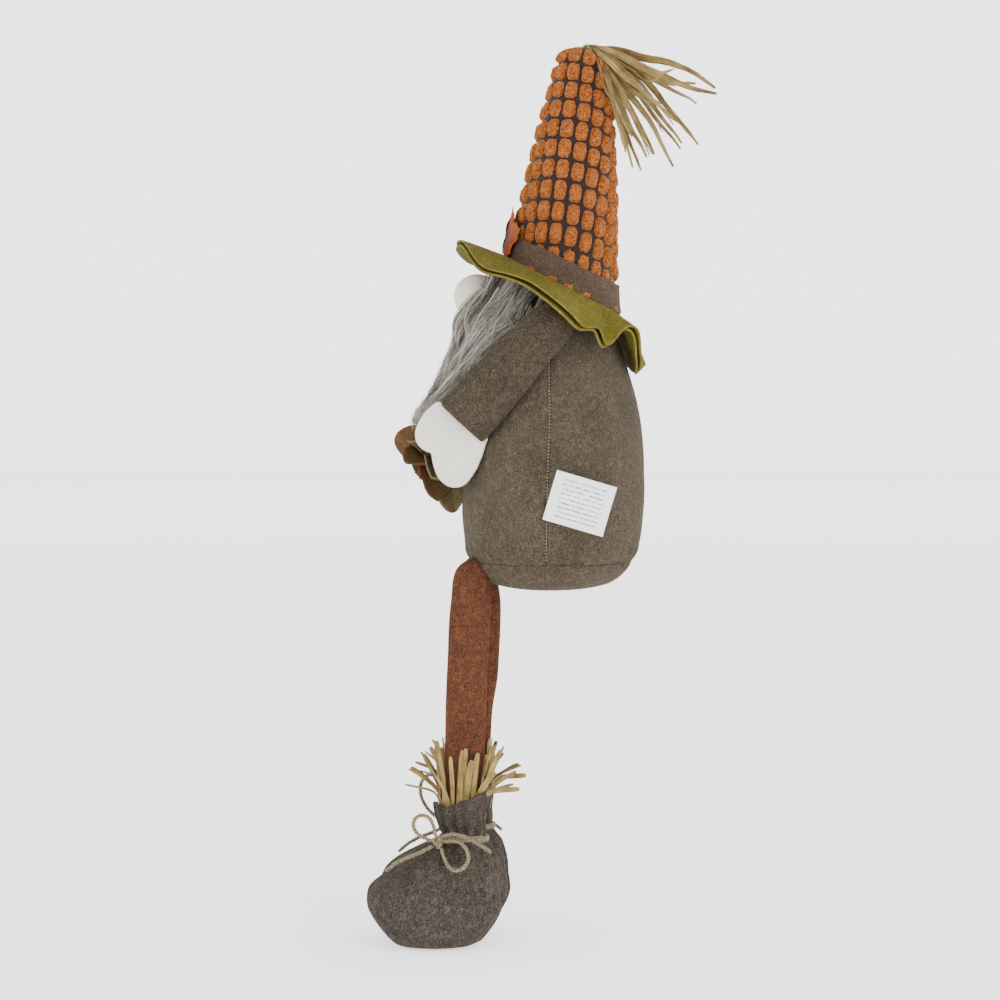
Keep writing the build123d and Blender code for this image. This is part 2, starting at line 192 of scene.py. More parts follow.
# ---- materials ----------------------------------------------------------------------------
class Shader:
    """A small builder for node materials."""

    def __init__(self, name, roughness=0.9, sheen=0.0, sheen_roughness=0.5, coordinates="Object"):
        self.material = bpy.data.materials.new(name)
        self.material.use_nodes = True
        self.tree = self.material.node_tree
        self.surface = self.tree.nodes["Principled BSDF"]
        self.surface.inputs["Roughness"].default_value = roughness
        self.surface.inputs["Specular IOR Level"].default_value = 0.25
        self.surface.inputs["Sheen Weight"].default_value = sheen
        self.surface.inputs["Sheen Roughness"].default_value = sheen_roughness
        self.place = self.tree.nodes.new("ShaderNodeTexCoord").outputs[coordinates]

    def node(self, kind, **settings):
        made = self.tree.nodes.new("ShaderNode" + kind)
        for key, value in settings.items():
            setattr(made, key, value)
        return made

    def link(self, source, target):
        self.tree.links.new(source, target)

    def mapped(self, scale=(1, 1, 1), turn=(0, 0, 0)):
        mapping = self.node("Mapping")
        mapping.inputs["Scale"].default_value = scale
        mapping.inputs["Rotation"].default_value = [math.radians(a) for a in turn]
        self.link(self.place, mapping.inputs["Vector"])
        return mapping.outputs["Vector"]

    def noise(self, scale, detail=3.0, rough=0.6, stretch=(1, 1, 1), turn=(0, 0, 0), twist=0.0):
        made = self.node("TexNoise")
        made.inputs["Scale"].default_value = scale
        made.inputs["Detail"].default_value = detail
        made.inputs["Roughness"].default_value = rough
        made.inputs["Distortion"].default_value = twist
        self.link(self.mapped(stretch, turn), made.inputs["Vector"])
        return made.outputs["Fac"]

    def ramp(self, source, stops):
        made = self.node("ValToRGB")
        ramp = made.color_ramp
        while len(ramp.elements) < len(stops):
            ramp.elements.new(0.5)
        for element, (place, colour) in zip(ramp.elements, stops):
            element.position = place
            element.color = colour
        self.link(source, made.inputs["Fac"])
        return made.outputs["Color"]

    def step(self, source, low, high):
        """0 below low, 1 above high."""
        made = self.node("MapRange", clamp=True)
        made.inputs["From Min"].default_value = low
        made.inputs["From Max"].default_value = high
        self.link(source, made.inputs["Value"])
        return made.outputs["Result"]

    def mix(self, factor, first, second):
        made = self.node("Mix", data_type="RGBA")
        for socket, value in ((0, factor), (6, first), (7, second)):
            if isinstance(value, (int, float, tuple)):
                made.inputs[socket].default_value = value
            else:
                self.link(value, made.inputs[socket])
        return made.outputs[2]

    def times(self, first, second):
        return self.math("MULTIPLY", first, second)

    def math(self, operation, first, second=0.0):
        made = self.node("Math", operation=operation)
        for socket, value in ((0, first), (1, second)):
            if isinstance(value, (int, float)):
                made.inputs[socket].default_value = value
            else:
                self.link(value, made.inputs[socket])
        return made.outputs[0]

    def bump(self, height, strength, distance):
        made = self.node("Bump")
        made.inputs["Strength"].default_value = strength
        made.inputs["Distance"].default_value = distance
        self.link(height, made.inputs["Height"])
        self.link(made.outputs["Normal"], self.surface.inputs["Normal"])

    def finish(self, colour):
        self.link(colour, self.surface.inputs["Base Color"])
        return self.material


FIBRE_TURNS = ((20, 35, 10), (75, -20, 60), (-40, 65, 120))


def felt(name, mid, dark, light, fleck=0.5, scale=1.0, sheen=0.12):
    """Pressed wool: blended fibres in several shades, with pale and dark fibres lying every way."""
    s = Shader(name, roughness=0.95, sheen=sheen, sheen_roughness=0.6)
    s.surface.inputs["Specular IOR Level"].default_value = 0.08
    s.surface.inputs["Sheen Tint"].default_value = light
    base = s.noise(950 * scale, detail=5, rough=0.62)
    colour = s.ramp(base, [(0.22, dark), (0.5, mid), (0.8, light)])
    cloudy = s.noise(34, detail=3)
    colour = s.mix(s.times(s.step(cloudy, 0.38, 0.68), 0.34), colour, dark)
    blotch = s.noise(230, detail=3, rough=0.6)
    colour = s.mix(s.times(s.step(blotch, 0.48, 0.66), 0.3 * fleck), colour, light)
    height = base
    for turn in FIBRE_TURNS:
        fibre = s.noise(430 * scale, detail=2, stretch=(1, 5, 5), turn=turn, twist=0.5)
        pale = s.times(s.step(fibre, 0.62, 0.70), fleck * 0.75)
        colour = s.mix(pale, colour, light)
        deep = s.times(s.step(fibre, 0.40, 0.33), fleck * 0.6)
        colour = s.mix(deep, colour, dark)
        height = s.math("ADD", height, s.times(fibre, 0.5))
    s.bump(height, 0.5, 0.0003)
    return s.finish(colour)


def woven(name, thread, shadow, pitch=0.0007, sheen=0.1, slub=0.25):
    """Plain weave: crossing threads with small differences in thickness."""
    s = Shader(name, roughness=0.9, sheen=sheen)
    waves = []
    for direction in ("X", "Z"):
        wave = s.node("TexWave", bands_direction=direction)
        wave.inputs["Scale"].default_value = 0.314 / pitch
        wave.inputs["Distortion"].default_value = 0.6
        wave.inputs["Detail"].default_value = 1.0
        s.link(s.mapped(turn=(0, 20, 40)), wave.inputs["Vector"])
        waves.append(wave.outputs["Fac"])
    weave = s.times(waves[0], waves[1])
    patchy = s.noise(300, detail=4)
    tone = s.math("ADD", s.times(weave, 1 - slub), s.times(patchy, slub))
    colour = s.ramp(tone, [(0.05, shadow), (0.55, thread)])
    s.bump(weave, 0.4, 0.0002)
    return s.finish(colour)


def raffia_material(name, pale, mid, brown):
    """Dried leaf: fine streaks along the strip, with a different shade on each strip."""
    s = Shader(name, roughness=0.6, sheen=0.05, coordinates="UV")
    streaks = s.noise(1.0, detail=4, stretch=(2.4, 0.05, 1))
    patches = s.noise(1.0, detail=2, stretch=(0.02, 0.05, 1))
    tone = s.math("ADD", s.times(streaks, 0.55), s.times(patches, 0.55))
    colour = s.ramp(tone, [(0.36, brown), (0.52, mid), (0.66, pale)])
    s.bump(streaks, 0.6, 0.0003)
    return s.finish(colour)


# Painted shade: the sleeves get a darker copy of the body's felt, though they are the same cloth.
sleeve_felt_painted_shade = felt("sleeve_felt_painted_shade", linear(56, 48, 39), linear(28, 23, 19), linear(100, 90, 75), 0.55)
body_felt = felt("body_felt", linear(63, 55, 45), linear(32, 27, 22), linear(110, 100, 84), 0.55)
band_felt = felt("band_felt", linear(70, 56, 46), linear(40, 31, 25), linear(104, 90, 76), 0.45)
sack_felt = felt("sack_felt", linear(53, 47, 42), linear(25, 21, 18), linear(104, 95, 86), 0.75, scale=0.85)
leg_felt = felt("leg_felt", linear(70, 43, 32), linear(34, 24, 24), linear(130, 78, 46), 0.95)
brim_felt = felt("brim_felt", linear(92, 84, 30), linear(44, 40, 12), linear(132, 122, 54), 0.75, sheen=0.04)
brim_edge_felt = felt("brim_edge_felt", linear(104, 92, 42), linear(62, 52, 20), linear(150, 134, 76), 0.4, sheen=0.04)
hand_felt = felt("hand_felt", linear(226, 220, 206), linear(202, 195, 180), linear(240, 237, 228), 0.18, scale=1.3)
hand_rim_felt = felt("hand_rim_felt", linear(240, 226, 212), linear(222, 204, 188), linear(250, 244, 236), 0.15)
nose_cloth = felt("nose_cloth", linear(222, 212, 196), linear(200, 190, 172), linear(236, 228, 214), 0.2, scale=1.4)
petal_brown = felt("petal_brown", linear(82, 60, 38), linear(50, 34, 20), linear(118, 94, 62), 0.7, scale=1.2)
petal_rust = felt("petal_rust", linear(88, 54, 36), linear(54, 34, 24), linear(128, 88, 62), 0.7, scale=1.2)
petal_khaki = felt("petal_khaki", linear(108, 92, 66), linear(70, 58, 38), linear(148, 132, 100), 0.7, scale=1.2)
centre_felt = felt("centre_felt", linear(58, 40, 28), linear(32, 22, 16), linear(92, 66, 46), 0.8)
hat_cloth = woven("hat_cloth", linear(46, 29, 25), linear(22, 14, 12))
backing_cloth = woven("backing_cloth", linear(150, 144, 134), linear(104, 98, 90))
raffia = raffia_material("raffia", linear(158, 136, 84), linear(112, 90, 48), linear(56, 42, 20))
straw = raffia_material("straw", linear(172, 150, 94), linear(124, 102, 54), linear(64, 48, 24))


def chenille(name):
    """Short dense pile: warm orange with lighter tips."""
    s = Shader(name, roughness=1.0, sheen=0.3, sheen_roughness=0.4)
    s.surface.inputs["Sheen Tint"].default_value = linear(255, 190, 120)
    pile = s.noise(1150, detail=3, rough=0.75)
    tufts = s.noise(420, detail=2)
    tone = s.math("ADD", s.times(pile, 0.85), s.times(tufts, 0.25))
    colour = s.ramp(tone, [(0.4, linear(62, 26, 8)), (0.53, linear(126, 64, 20)), (0.68, linear(184, 112, 50))])
    s.bump(s.math("ADD", pile, s.times(tufts, 0.8)), 0.9, 0.0006)
    return s.finish(colour)


def fur(name):
    """Grey strands; the texture's first number is the strand's own shade, the second runs root to tip, and each hair
    turns paler towards its tip, which leaves painted shade at its root.
    """
    s = Shader(name, roughness=0.55, sheen=0.2, coordinates="UV")
    parts = s.node("SeparateXYZ")
    s.link(s.place, parts.inputs[0])
    shade = s.ramp(parts.outputs[0], [
        (0.05, linear(44, 41, 38)), (0.35, linear(104, 98, 90)),
        (0.62, linear(166, 158, 146)), (0.92, linear(236, 230, 218)),
    ])
    # Painted shade: each hair stays darker near its root and turns paler towards its tip.
    tip = s.times(s.step(parts.outputs[1], 0.35, 1.0), 0.35)
    return s.finish(s.mix(tip, shade, linear(214, 208, 196)))


def jute(name):
    """Twine fibre with lighter and darker plies."""
    s = Shader(name, roughness=0.85, sheen=0.2)
    fibres = s.noise(900, detail=4, rough=0.7)
    colour = s.ramp(fibres, [(0.34, linear(84, 70, 50)), (0.52, linear(130, 114, 88)), (0.7, linear(178, 162, 132))])
    s.bump(fibres, 0.7, 0.0003)
    return s.finish(colour)


LABEL_LINES = 11.0
LABEL_MARGINS = ((0.16, 0.86), (0.12, 0.9))


def label_cloth(name):
    """White satin ribbon with rows of broken grey bars in place of any words."""
    s = Shader(name, roughness=0.55, sheen=0.1, coordinates="UV")
    parts = s.node("SeparateXYZ")
    s.link(s.place, parts.inputs[0])
    across, up = parts.outputs[0], parts.outputs[1]
    row = s.math("FRACT", s.times(up, LABEL_LINES))
    in_row = s.times(s.math("GREATER_THAN", row, 0.38), s.math("LESS_THAN", row, 0.66))
    broken = s.noise(1.0, detail=1, stretch=(60, 11, 1))
    ink = s.times(in_row, s.step(broken, 0.44, 0.5))
    for value, (low, high) in zip((across, up), LABEL_MARGINS):
        inside = s.times(s.math("GREATER_THAN", value, low), s.math("LESS_THAN", value, high))
        ink = s.times(ink, inside)
    colour = s.mix(s.times(ink, 0.92), linear(240, 240, 242), linear(66, 66, 70))
    weave = s.noise(1.0, detail=2, stretch=(160, 30, 1))
    s.bump(weave, 0.2, 0.0001)
    return s.finish(colour)


def silk_leaf(name, heart, middle, edge):
    """Printed silk: the colour runs from the heart of the leaf to its edge."""
    s = Shader(name, roughness=0.8, sheen=0.03, coordinates="UV")
    parts = s.node("SeparateXYZ")
    s.link(s.place, parts.inputs[0])
    mottle = s.noise(9.0, detail=4)
    tone = s.math("ADD", parts.outputs[0], s.times(mottle, 0.35))
    colour = s.ramp(tone, [(0.2, heart), (0.62, middle), (1.0, edge)])
    s.bump(s.noise(60.0, detail=2), 0.3, 0.0002)
    return s.finish(colour)


chenille_orange = chenille("chenille_orange")
fur_grey = fur("fur_grey")
twine_jute = jute("twine_jute")
label_satin = label_cloth("label_satin")
thread_pale = woven("thread_pale", linear(176, 164, 140), linear(120, 108, 90), pitch=0.0003)
leaf_orange = silk_leaf("leaf_orange", linear(46, 14, 5), linear(104, 34, 4), linear(134, 62, 6))
leaf_yellow = silk_leaf("leaf_yellow", linear(80, 34, 5), linear(140, 66, 6), linear(168, 98, 12))


# ---- camera -------------------------------------------------------------------------------
CAMERA_AZIMUTH = 94.0
CAMERA_ELEVATION = 2.5
CAMERA_DISTANCE = 2.0
CAMERA_TARGET = Vector((0, -0.034, 0.054))
CAMERA_FIELD = 0.624            # width of the view at the target
CAMERA_SENSOR = 36


def make_camera():
    azimuth, elevation = math.radians(CAMERA_AZIMUTH), math.radians(CAMERA_ELEVATION)
    toward = Vector((math.sin(azimuth) * math.cos(elevation), -math.cos(azimuth) * math.cos(elevation),
                     math.sin(elevation)))
    data = bpy.data.cameras.new("camera")
    camera = bpy.data.objects.new("camera", data)
    bpy.context.scene.collection.objects.link(camera)
    camera.location = CAMERA_TARGET + toward * CAMERA_DISTANCE
    camera.rotation_euler = (-toward).to_track_quat("-Z", "Y").to_euler()
    data.sensor_width = CAMERA_SENSOR
    data.lens = CAMERA_SENSOR * CAMERA_DISTANCE / CAMERA_FIELD
    data.clip_start = 0.01
    bpy.context.scene.camera = camera


make_camera()


# ---- body ---------------------------------------------------------------------------------
# Height, front Y, back Y, half width, all in millimetres.
BODY_ROWS = [
    (0.0, -27.0, 23.0, 38.0),
    (2.5, -38.0, 34.0, 50.0),
    (8.0, -45.5, 42.0, 57.8),
    (20.0, -53.0, 50.0, 65.0),
    (45.0, -57.5, 55.5, 70.0),
    (70.0, -57.0, 56.0, 70.0),
    (105.0, -52.0, 53.0, 65.0),
    (136.0, -46.0, 45.5, 57.0),
    (160.0, -37.5, 38.0, 47.5),
    (180.0, -28.5, 32.0, 36.0),
    (203.0, -21.0, 30.0, 25.0),
]
BASE_SEAM = 17.0                # height of the level seam
SEAM_DEPTH = 0.8                # how far a seam pulls the felt in
STITCH_PITCH = 2.0
STITCHES_END = 176              # the sleeves and the brim hide the seam above this
PANEL_TOP = 201.0               # the panels end inside the hat
FLAT_SHARE = 0.62               # share of the base's rows that lie flat
FELT = 1.5


def body_ring(z):
    """Middle Y, half depth and half width at a height."""
    front, back, half = at_key(BODY_ROWS, z)
    return (front + back) / 2, (back - front) / 2, half


def body_point(angle, z, out=0.0):
    """A point on the body; angle 0 is the front and 90 the figure's left."""
    middle, depth, half = body_ring(z)
    a = math.radians(angle)
    return np.array([(half + out) * math.sin(a), middle - (depth + out) * math.cos(a), z])


def seam_pull(distance):
    """Inward pull beside a seam; distance in millimetres."""
    return SEAM_DEPTH * math.exp(-(distance / 2.2) ** 2) - 0.5 * math.exp(-((abs(distance) - 6) / 4) ** 2)


def cloth_relief(angle, z, x, y):
    """Soft dents in stuffed felt, and puckers at the base seam."""
    dents = 1.1 * ripple(x, y, z, 46, 3.1) + 0.5 * ripple(x, y, z, 17, 8.2)
    near = math.exp(-((z - BASE_SEAM - 2) / 9) ** 2)
    pucker = near * 0.7 * math.sin(math.radians(angle) * 46 + 3 * ripple(x, y, 0, 20, 5.0))
    return dents + pucker


def make_body_panel(name, first_angle, *nodes):
    """One upright panel of the body, from the base seam up into the hat."""
    columns, rows = 120, 130
    points = []
    for r in range(rows):
        z = BASE_SEAM + (PANEL_TOP - BASE_SEAM) * (r / (rows - 1)) ** 1.15
        for c in range(columns):
            angle = first_angle + 180 * c / (columns - 1)
            x, y, _ = body_point(angle, z)
            width = body_ring(z)[2]
            to_side = math.radians(min(c, columns - 1 - c) * 180 / (columns - 1)) * width
            out = cloth_relief(angle, z, x, y) * min(1, to_side / 8)
            out -= seam_pull(to_side) + seam_pull(z - BASE_SEAM)
            points.append(tuple(body_point(angle, z, out)))
    panel = add_piece(name, points, sheet_faces(rows, columns), body_felt)
    outward(panel)
    modify(panel, "SOLIDIFY", thickness=FELT * MM, offset=-1)
    apply_modifiers(panel)
    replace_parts(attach(panel, "root"), *nodes)


def make_base():
    """The gathered base under the level seam, flat where it sits."""
    columns, rows = 200, 34
    points = []
    for r in range(rows):
        share = r / (rows - 1)
        for c in range(columns):
            angle = 360 * c / columns
            if share < FLAT_SHARE:
                spread = share / FLAT_SHARE
                x, y, _ = body_point(angle, 0.0)
                middle = body_ring(0.0)[0]
                points.append((x * spread, middle + (y - middle) * spread, 0.05))
                continue
            z = BASE_SEAM * ((share - FLAT_SHARE) / (1 - FLAT_SHARE)) ** 1.2 + 0.05
            x, y, _ = body_point(angle, z)
            gather = math.exp(-((z - BASE_SEAM + 2) / 5.5) ** 2)
            out = gather * 0.6 * math.sin(math.radians(angle) * 46 + 3 * ripple(x, y, 0, 20, 5.0))
            out += 0.7 * ripple(x, y, z, 30, 1.3) * min(1, z / 6) - seam_pull(z - BASE_SEAM)
            points.append(tuple(body_point(angle, z, out)))
    base = add_piece("base_cover", points, sheet_faces(rows, columns, closed=True), body_felt)
    modify(base, "SOLIDIFY", thickness=FELT * MM, offset=-1)
    outward(base)
    apply_modifiers(base)
    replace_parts(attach(base, "root"), "base_panel", "pellet_bag")


def stitch(heap, start, end, out, radius):
    """One stitch: a short thread that arches over the seam."""
    start, end, out = Vector(start), Vector(end), Vector(out).normalized()
    along = (end - start).normalized()
    side = along.cross(out).normalized()
    points, uvs = [], []
    for ring in range(7):
        share = ring / 6
        centre = start.lerp(end, share) + out * (math.sin(math.pi * share) * 0.55 - 0.25)
        size = radius * (0.45 + 0.55 * math.sin(math.pi * share) ** 0.5 if 0 < ring < 6 else 0.3)
        for corner in range(6):
            turn = math.tau * corner / 6
            points.append(tuple(centre + (side * math.cos(turn) + out * math.sin(turn)) * size))
            uvs.append((corner / 6, share))
    heap.add(points, tube_faces(7, 6, flip=True), uvs)


def make_seam_threads():
    heap = Heap()
    for angle in (90, -90):
        z = BASE_SEAM + 3
        while z < STITCHES_END:
            low = body_point(angle, z, 0.1 - SEAM_DEPTH * 0.6)
            high = body_point(angle, z + STITCH_PITCH * 0.5, 0.1 - SEAM_DEPTH * 0.6)
            stitch(heap, low, high, (math.copysign(1, angle), 0, 0), 0.36)
            z += STITCH_PITCH
    threads = heap.piece("seam_stitches", thread_pale, "root")
    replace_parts(threads, "side_seam_threads")


def make_body():
    make_body_panel("front_panel_cover", -90, "body_front_panel", "body_stuffing")
    make_body_panel("back_panel_cover", 90, "body_back_panel")
    make_base()
    make_seam_threads()


# ---- hat ----------------------------------------------------------------------------------
HAT_SEAT = Vector((0, 4, 188))
HAT_TILT = math.radians(-27)    # of the seat that the brim lies in
HAT_LEAN = math.radians(-5.6)   # of the cone
HAT_HEIGHT = 147.0
HAT_RADII = (33.0, 13.0)        # at the seat and at the tip
HAT_CLOTH = 1.2
CONE_TUCK = 4.5                 # how far the cone goes down inside the brim
seat_place = Matrix.Translation(HAT_SEAT) @ Matrix.Rotation(HAT_TILT, 4, "X")
cone_place = Matrix.Translation(HAT_SEAT) @ Matrix.Rotation(HAT_LEAN, 4, "X")
HAT_BULGE = 2.2                 # the stuffed cone swells at its middle
TIP_ROUND = 9.0                 # height over which the cone's top rounds off


def cone_radius(height):
    radius = HAT_RADII[0] + (HAT_RADII[1] - HAT_RADII[0]) * height / HAT_HEIGHT
    radius += HAT_BULGE * math.sin(math.pi * min(1.0, max(0.0, height / HAT_HEIGHT)))
    over = height - (HAT_HEIGHT - TIP_ROUND)
    if over > 0:
        radius *= math.sqrt(max(0.0, 1 - (over / (TIP_ROUND + 0.5)) ** 2.4))
    return radius


def cone_point(angle, height, out=0.0):
    """A point on the hat; angle 0 is its front and 90 the figure's left."""
    a = math.radians(angle)
    radius = cone_radius(height) + out
    return cone_place @ Vector((radius * math.sin(a), -radius * math.cos(a), height))


def seat_height(point):
    """Height above the tilted plane that the brim lies in."""
    return (seat_place.inverted() @ Vector(point)).z


def band_start(angle):
    """Height on the cone where it meets the tilted seat."""
    low, high = -40.0, 60.0
    for _ in range(30):
        middle = (low + high) / 2
        if seat_height(cone_point(angle, middle)) < 0:
            low = middle
        else:
            high = middle
    return (low + high) / 2


def make_hat_cone():
    columns, rows = 128, 90
    points = []
    for r in range(rows):
        for c in range(columns):
            angle = 360 * c / columns
            low = band_start(angle) - CONE_TUCK
            height = low + (HAT_HEIGHT - low) * (1 - (1 - r / (rows - 1)) ** 1.3)
            x, y, z = cone_point(angle, height)
            out = 0.5 * ripple(x, y, z, 24, 2.0) * min(1, (HAT_HEIGHT - height) / 20)
            points.append(tuple(cone_point(angle, height, out)))
    cone = add_piece("hat_cone_cover", points, sheet_faces(rows, columns, closed=True), hat_cloth)
    outward(cone)
    modify(cone, "SOLIDIFY", thickness=HAT_CLOTH * MM, offset=-1)
    apply_modifiers(cone)
    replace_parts(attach(cone, "root"), "hat_cone", "hat_stuffing")


KERNEL_ROWS = 15
UPPER_ROWS = 8                  # rows in the upper of the two pieces
KERNEL_WIDTH = 10.0             # from column to column of the ribbed cloth
KERNEL_COLUMNS = 11             # on each side of the middle
KERNEL_RISE = 3.2
KERNEL_SEAM = 90.0              # the cloth's middle faces left and its ends meet on the right


def kernel_shape(steps=7):
    """A unit pillow: barrel-shaped in outline and crowned, as points with a texture place."""
    points, uvs = [], []
    for r in range(steps):
        for c in range(steps):
            u, v = 2 * c / (steps - 1) - 1, 2 * r / (steps - 1) - 1
            narrow = 1 - 0.30 * abs(v) ** 3
            short = 1 - 0.07 * u * u
            crown = max(0.0, (1 - u ** 4) * (1 - v ** 4)) ** 0.42
            points.append((u * narrow, v * short, crown))
            uvs.append((u, v))
    return points, sheet_faces(steps, steps), uvs


def add_kernel(heap, shape, rng, angle, height, half_width, half_height, rise, lean):
    outline, faces, uvs = shape
    radius = max(cone_radius(height), 8)
    seed = rng.uniform(0, 50)
    points = []
    for u, v, w in outline:
        side, up = u * half_width, v * half_height
        side, up = side + up * lean, up - side * lean
        fuzz = 0.45 * noise.noise(Vector((side * 1.1 + seed, up * 1.1, w * 2)))
        points.append(tuple(cone_point(angle + math.degrees(side / radius), height + up, -0.3 + w * (rise + fuzz))))
    heap.add(points, faces, uvs)


def make_kernels():
    """Rows of pile that stay level at the front and fall towards the back, as on cloth wrapped round a cone."""
    rng = random.Random(11)
    shape = kernel_shape()
    upper, lower = Heap(), Heap()
    middle = HAT_HEIGHT + 16
    for row in range(KERNEL_ROWS):
        pitch = min(13.6, 10.6 + 0.3 * row)
        middle -= pitch
        for column in range(-KERNEL_COLUMNS, KERNEL_COLUMNS):
            arc = (column + 0.5) * KERNEL_WIDTH
            fall = 0.12 * arc + 0.35 * (math.hypot(arc, 25) - 25)
            slope = 0.12 + 0.35 * arc / math.hypot(arc, 25)
            height = middle - fall
            if height > HAT_HEIGHT - 3:
                continue
            radius = cone_radius(height) + 1.5
            turn = arc / radius
            if abs(turn) > math.pi - 0.42 * KERNEL_WIDTH / radius:
                continue
            angle = KERNEL_SEAM + math.degrees(turn)
            above = seat_height(cone_point(angle, height))
            if above < 10:
                continue
            tucked = 1.0 if above > 20 else 0.45
            add_kernel(upper if row < UPPER_ROWS else lower, shape, rng, angle, height,
                       0.425 * KERNEL_WIDTH * rng.uniform(0.93, 1.04),
                       0.485 * pitch * rng.uniform(0.95, 1.03), KERNEL_RISE * tucked * rng.uniform(0.92, 1.08),
                       0.3 * slope + rng.uniform(-0.05, 0.05))
    # A few ends of the cloth that peep out under the band.
    for number in range(18):
        angle = number * 20 + rng.uniform(-5, 5)
        if rng.random() < 0.4 or number in (3, 4, 5):
            add_kernel(lower, shape, rng, angle, band_start(angle) + 1.0, 4.4, 2.2, 4.4, 0.1)
    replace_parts(rough_kernels(upper, "corn_kernels_upper"), "hat_kernels")
    rough_kernels(lower, "corn_kernels_lower")


def rough_kernels(heap, name):
    """Subdivides the kernels and roughens them like cut pile."""
    kernels = heap.piece(name, chenille_orange, "root")
    modify(kernels, "SUBSURF", levels=2, render_levels=2)
    apply_modifiers(kernels)
    rough = random.Random(4)
    count = len(kernels.data.vertices) * 3
    places, normals = np.zeros(count), np.zeros(count)
    kernels.data.vertices.foreach_get("co", places)
    kernels.data.vertex_normals.foreach_get("vector", normals)
    places, normals = places.reshape(-1, 3), normals.reshape(-1, 3)
    lift = [0.42 * (noise.noise(p / 0.9) + 0.5 * noise.noise(p / 2.2)) + rough.gauss(0, 0.1)
            for p in (Vector(place) / MM for place in places)]
    kernels.data.vertices.foreach_set("co", (places + normals * np.array(lift)[:, None] * MM).ravel())
    return kernels


BAND_TOP = 15.0                 # height of the band's upper edge over the seat
BAND_FELT = 1.5


def make_band():
    """A felt ribbon round the foot of the cone, with slightly wavy cut edges."""
    columns, rows = 160, 10
    points = []
    for r in range(rows):
        for c in range(columns):
            angle = 360 * c / columns
            a = math.radians(angle)
            low = band_start(angle)
            share = r / (rows - 1)
            slant = abs(seat_height(cone_point(angle, low + 10)) / 10)
            edge = BAND_TOP + 0.8 * ripple(math.sin(a) * 30, 0, math.cos(a) * 30, 14)
            height = low + (-1.0 + (edge + 1.0) * share) / max(slant, 0.3)
            x, y, z = cone_point(angle, height)
            out = 1.9 + 0.6 * ripple(x, y, z, 16, 4.4) + (0.4 if share > 0.9 else 0)
            points.append(tuple(cone_point(angle, height, out)))
    band = add_piece("hat_band_felt", points, sheet_faces(rows, columns, closed=True), band_felt)
    outward(band)
    modify(band, "SOLIDIFY", thickness=BAND_FELT * MM, offset=1)
    modify(band, "BEVEL", width=0.3 * MM, segments=1, limit_method="ANGLE")
    apply_modifiers(band)
    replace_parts(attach(band, "root"), "hat_band")


# Angle from the front towards the figure's left, height of the rim over the seat, and rim radius.
BRIM_WAVES = [
    (-180, -17, 69), (-160, -21, 69), (-140, -19, 68), (-118, -17, 70), (-95, -9, 69), (-72, -15, 70), (-50, -8, 69),
    (-28, -14, 69), (0, -10, 69.5), (22, -7, 69), (50, -13.5, 69), (66, -10, 69.5), (80, -7.5, 70), (92, -8.5, 70.5),
    (104, -11.5, 70), (113, -14.5, 70), (121, -11, 69.5), (130, -17, 70.5), (138, -3, 66.5), (148, -1, 67),
    (162, -16, 70), (171, -21.5, 69), (180, -17, 69),
]
BRIM_FELT = 1.3
BRIM_GAP = 3.4                  # between the two rings
BRIM_DROOP = 3.6                # the rim lies steeper than the hat's seat


def brim_rim(angle):
    angle = (angle + 180) % 360 - 180
    height, radius = at_key(BRIM_WAVES, angle)
    return height + BRIM_DROOP * math.cos(math.radians(angle)), radius


def make_brim_ring(name, drop, shrink, seed, node, material):
    """One felt ring: level at the band, sloping and waving more and more towards its rim."""
    columns, rows = 300, 22
    points = []
    for r in range(rows):
        share = r / (rows - 1)
        for c in range(columns):
            angle = 360 * c / columns - 180
            a = math.radians(angle)
            height, radius = brim_rim(angle + seed)
            radius -= shrink + 0.5 * ripple(math.sin(a) * 60, math.cos(a) * 60, 0, 7, seed)
            base = band_start(angle)
            foot = seat_place.inverted() @ cone_point(angle, base, 1.2)
            reach = math.hypot(foot.x, foot.y)
            spread = reach + (radius - reach) * share
            wave = height * share ** 1.35
            flutter = ripple(math.sin(a) * 50, math.cos(a) * 50, 0, 22, seed + 5)
            loose = drop * (0.35 + 0.65 * share) + 1.1 * share * flutter
            points.append(tuple(seat_place @ Vector((spread * math.sin(a), -spread * math.cos(a), wave - loose))))
    ring = add_piece(name, points, sheet_faces(rows, columns, closed=True), material)
    outward(ring)
    ring.data.materials.append(brim_edge_felt)
    modify(ring, "SOLIDIFY", thickness=BRIM_FELT * MM, offset=0, material_offset_rim=1)
    apply_modifiers(ring)
    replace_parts(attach(ring, "root"), node)


def make_brim():
    make_brim_ring("brim_top_felt", 0.0, 0.0, 0.0, "brim_upper", brim_felt)
    make_brim_ring("brim_under_felt", BRIM_GAP, 0.8, 1.6, "brim_lower", brim_felt)


# Outline of half a maple leaf: across and up from its heart, tip first.
MAPLE_HALF = [
    (0.0, 1.0), (0.13, 0.74), (0.25, 0.78), (0.2, 0.48), (0.45, 0.66), (0.5, 0.5), (0.82, 0.55), (0.7, 0.36),
    (0.86, 0.2), (0.5, 0.06), (0.62, -0.22), (0.42, -0.2), (0.3, -0.42), (0.1, -0.26), (0.05, -0.34),
]


THIN_CLOTH = 0.25               # of the leaves and the label


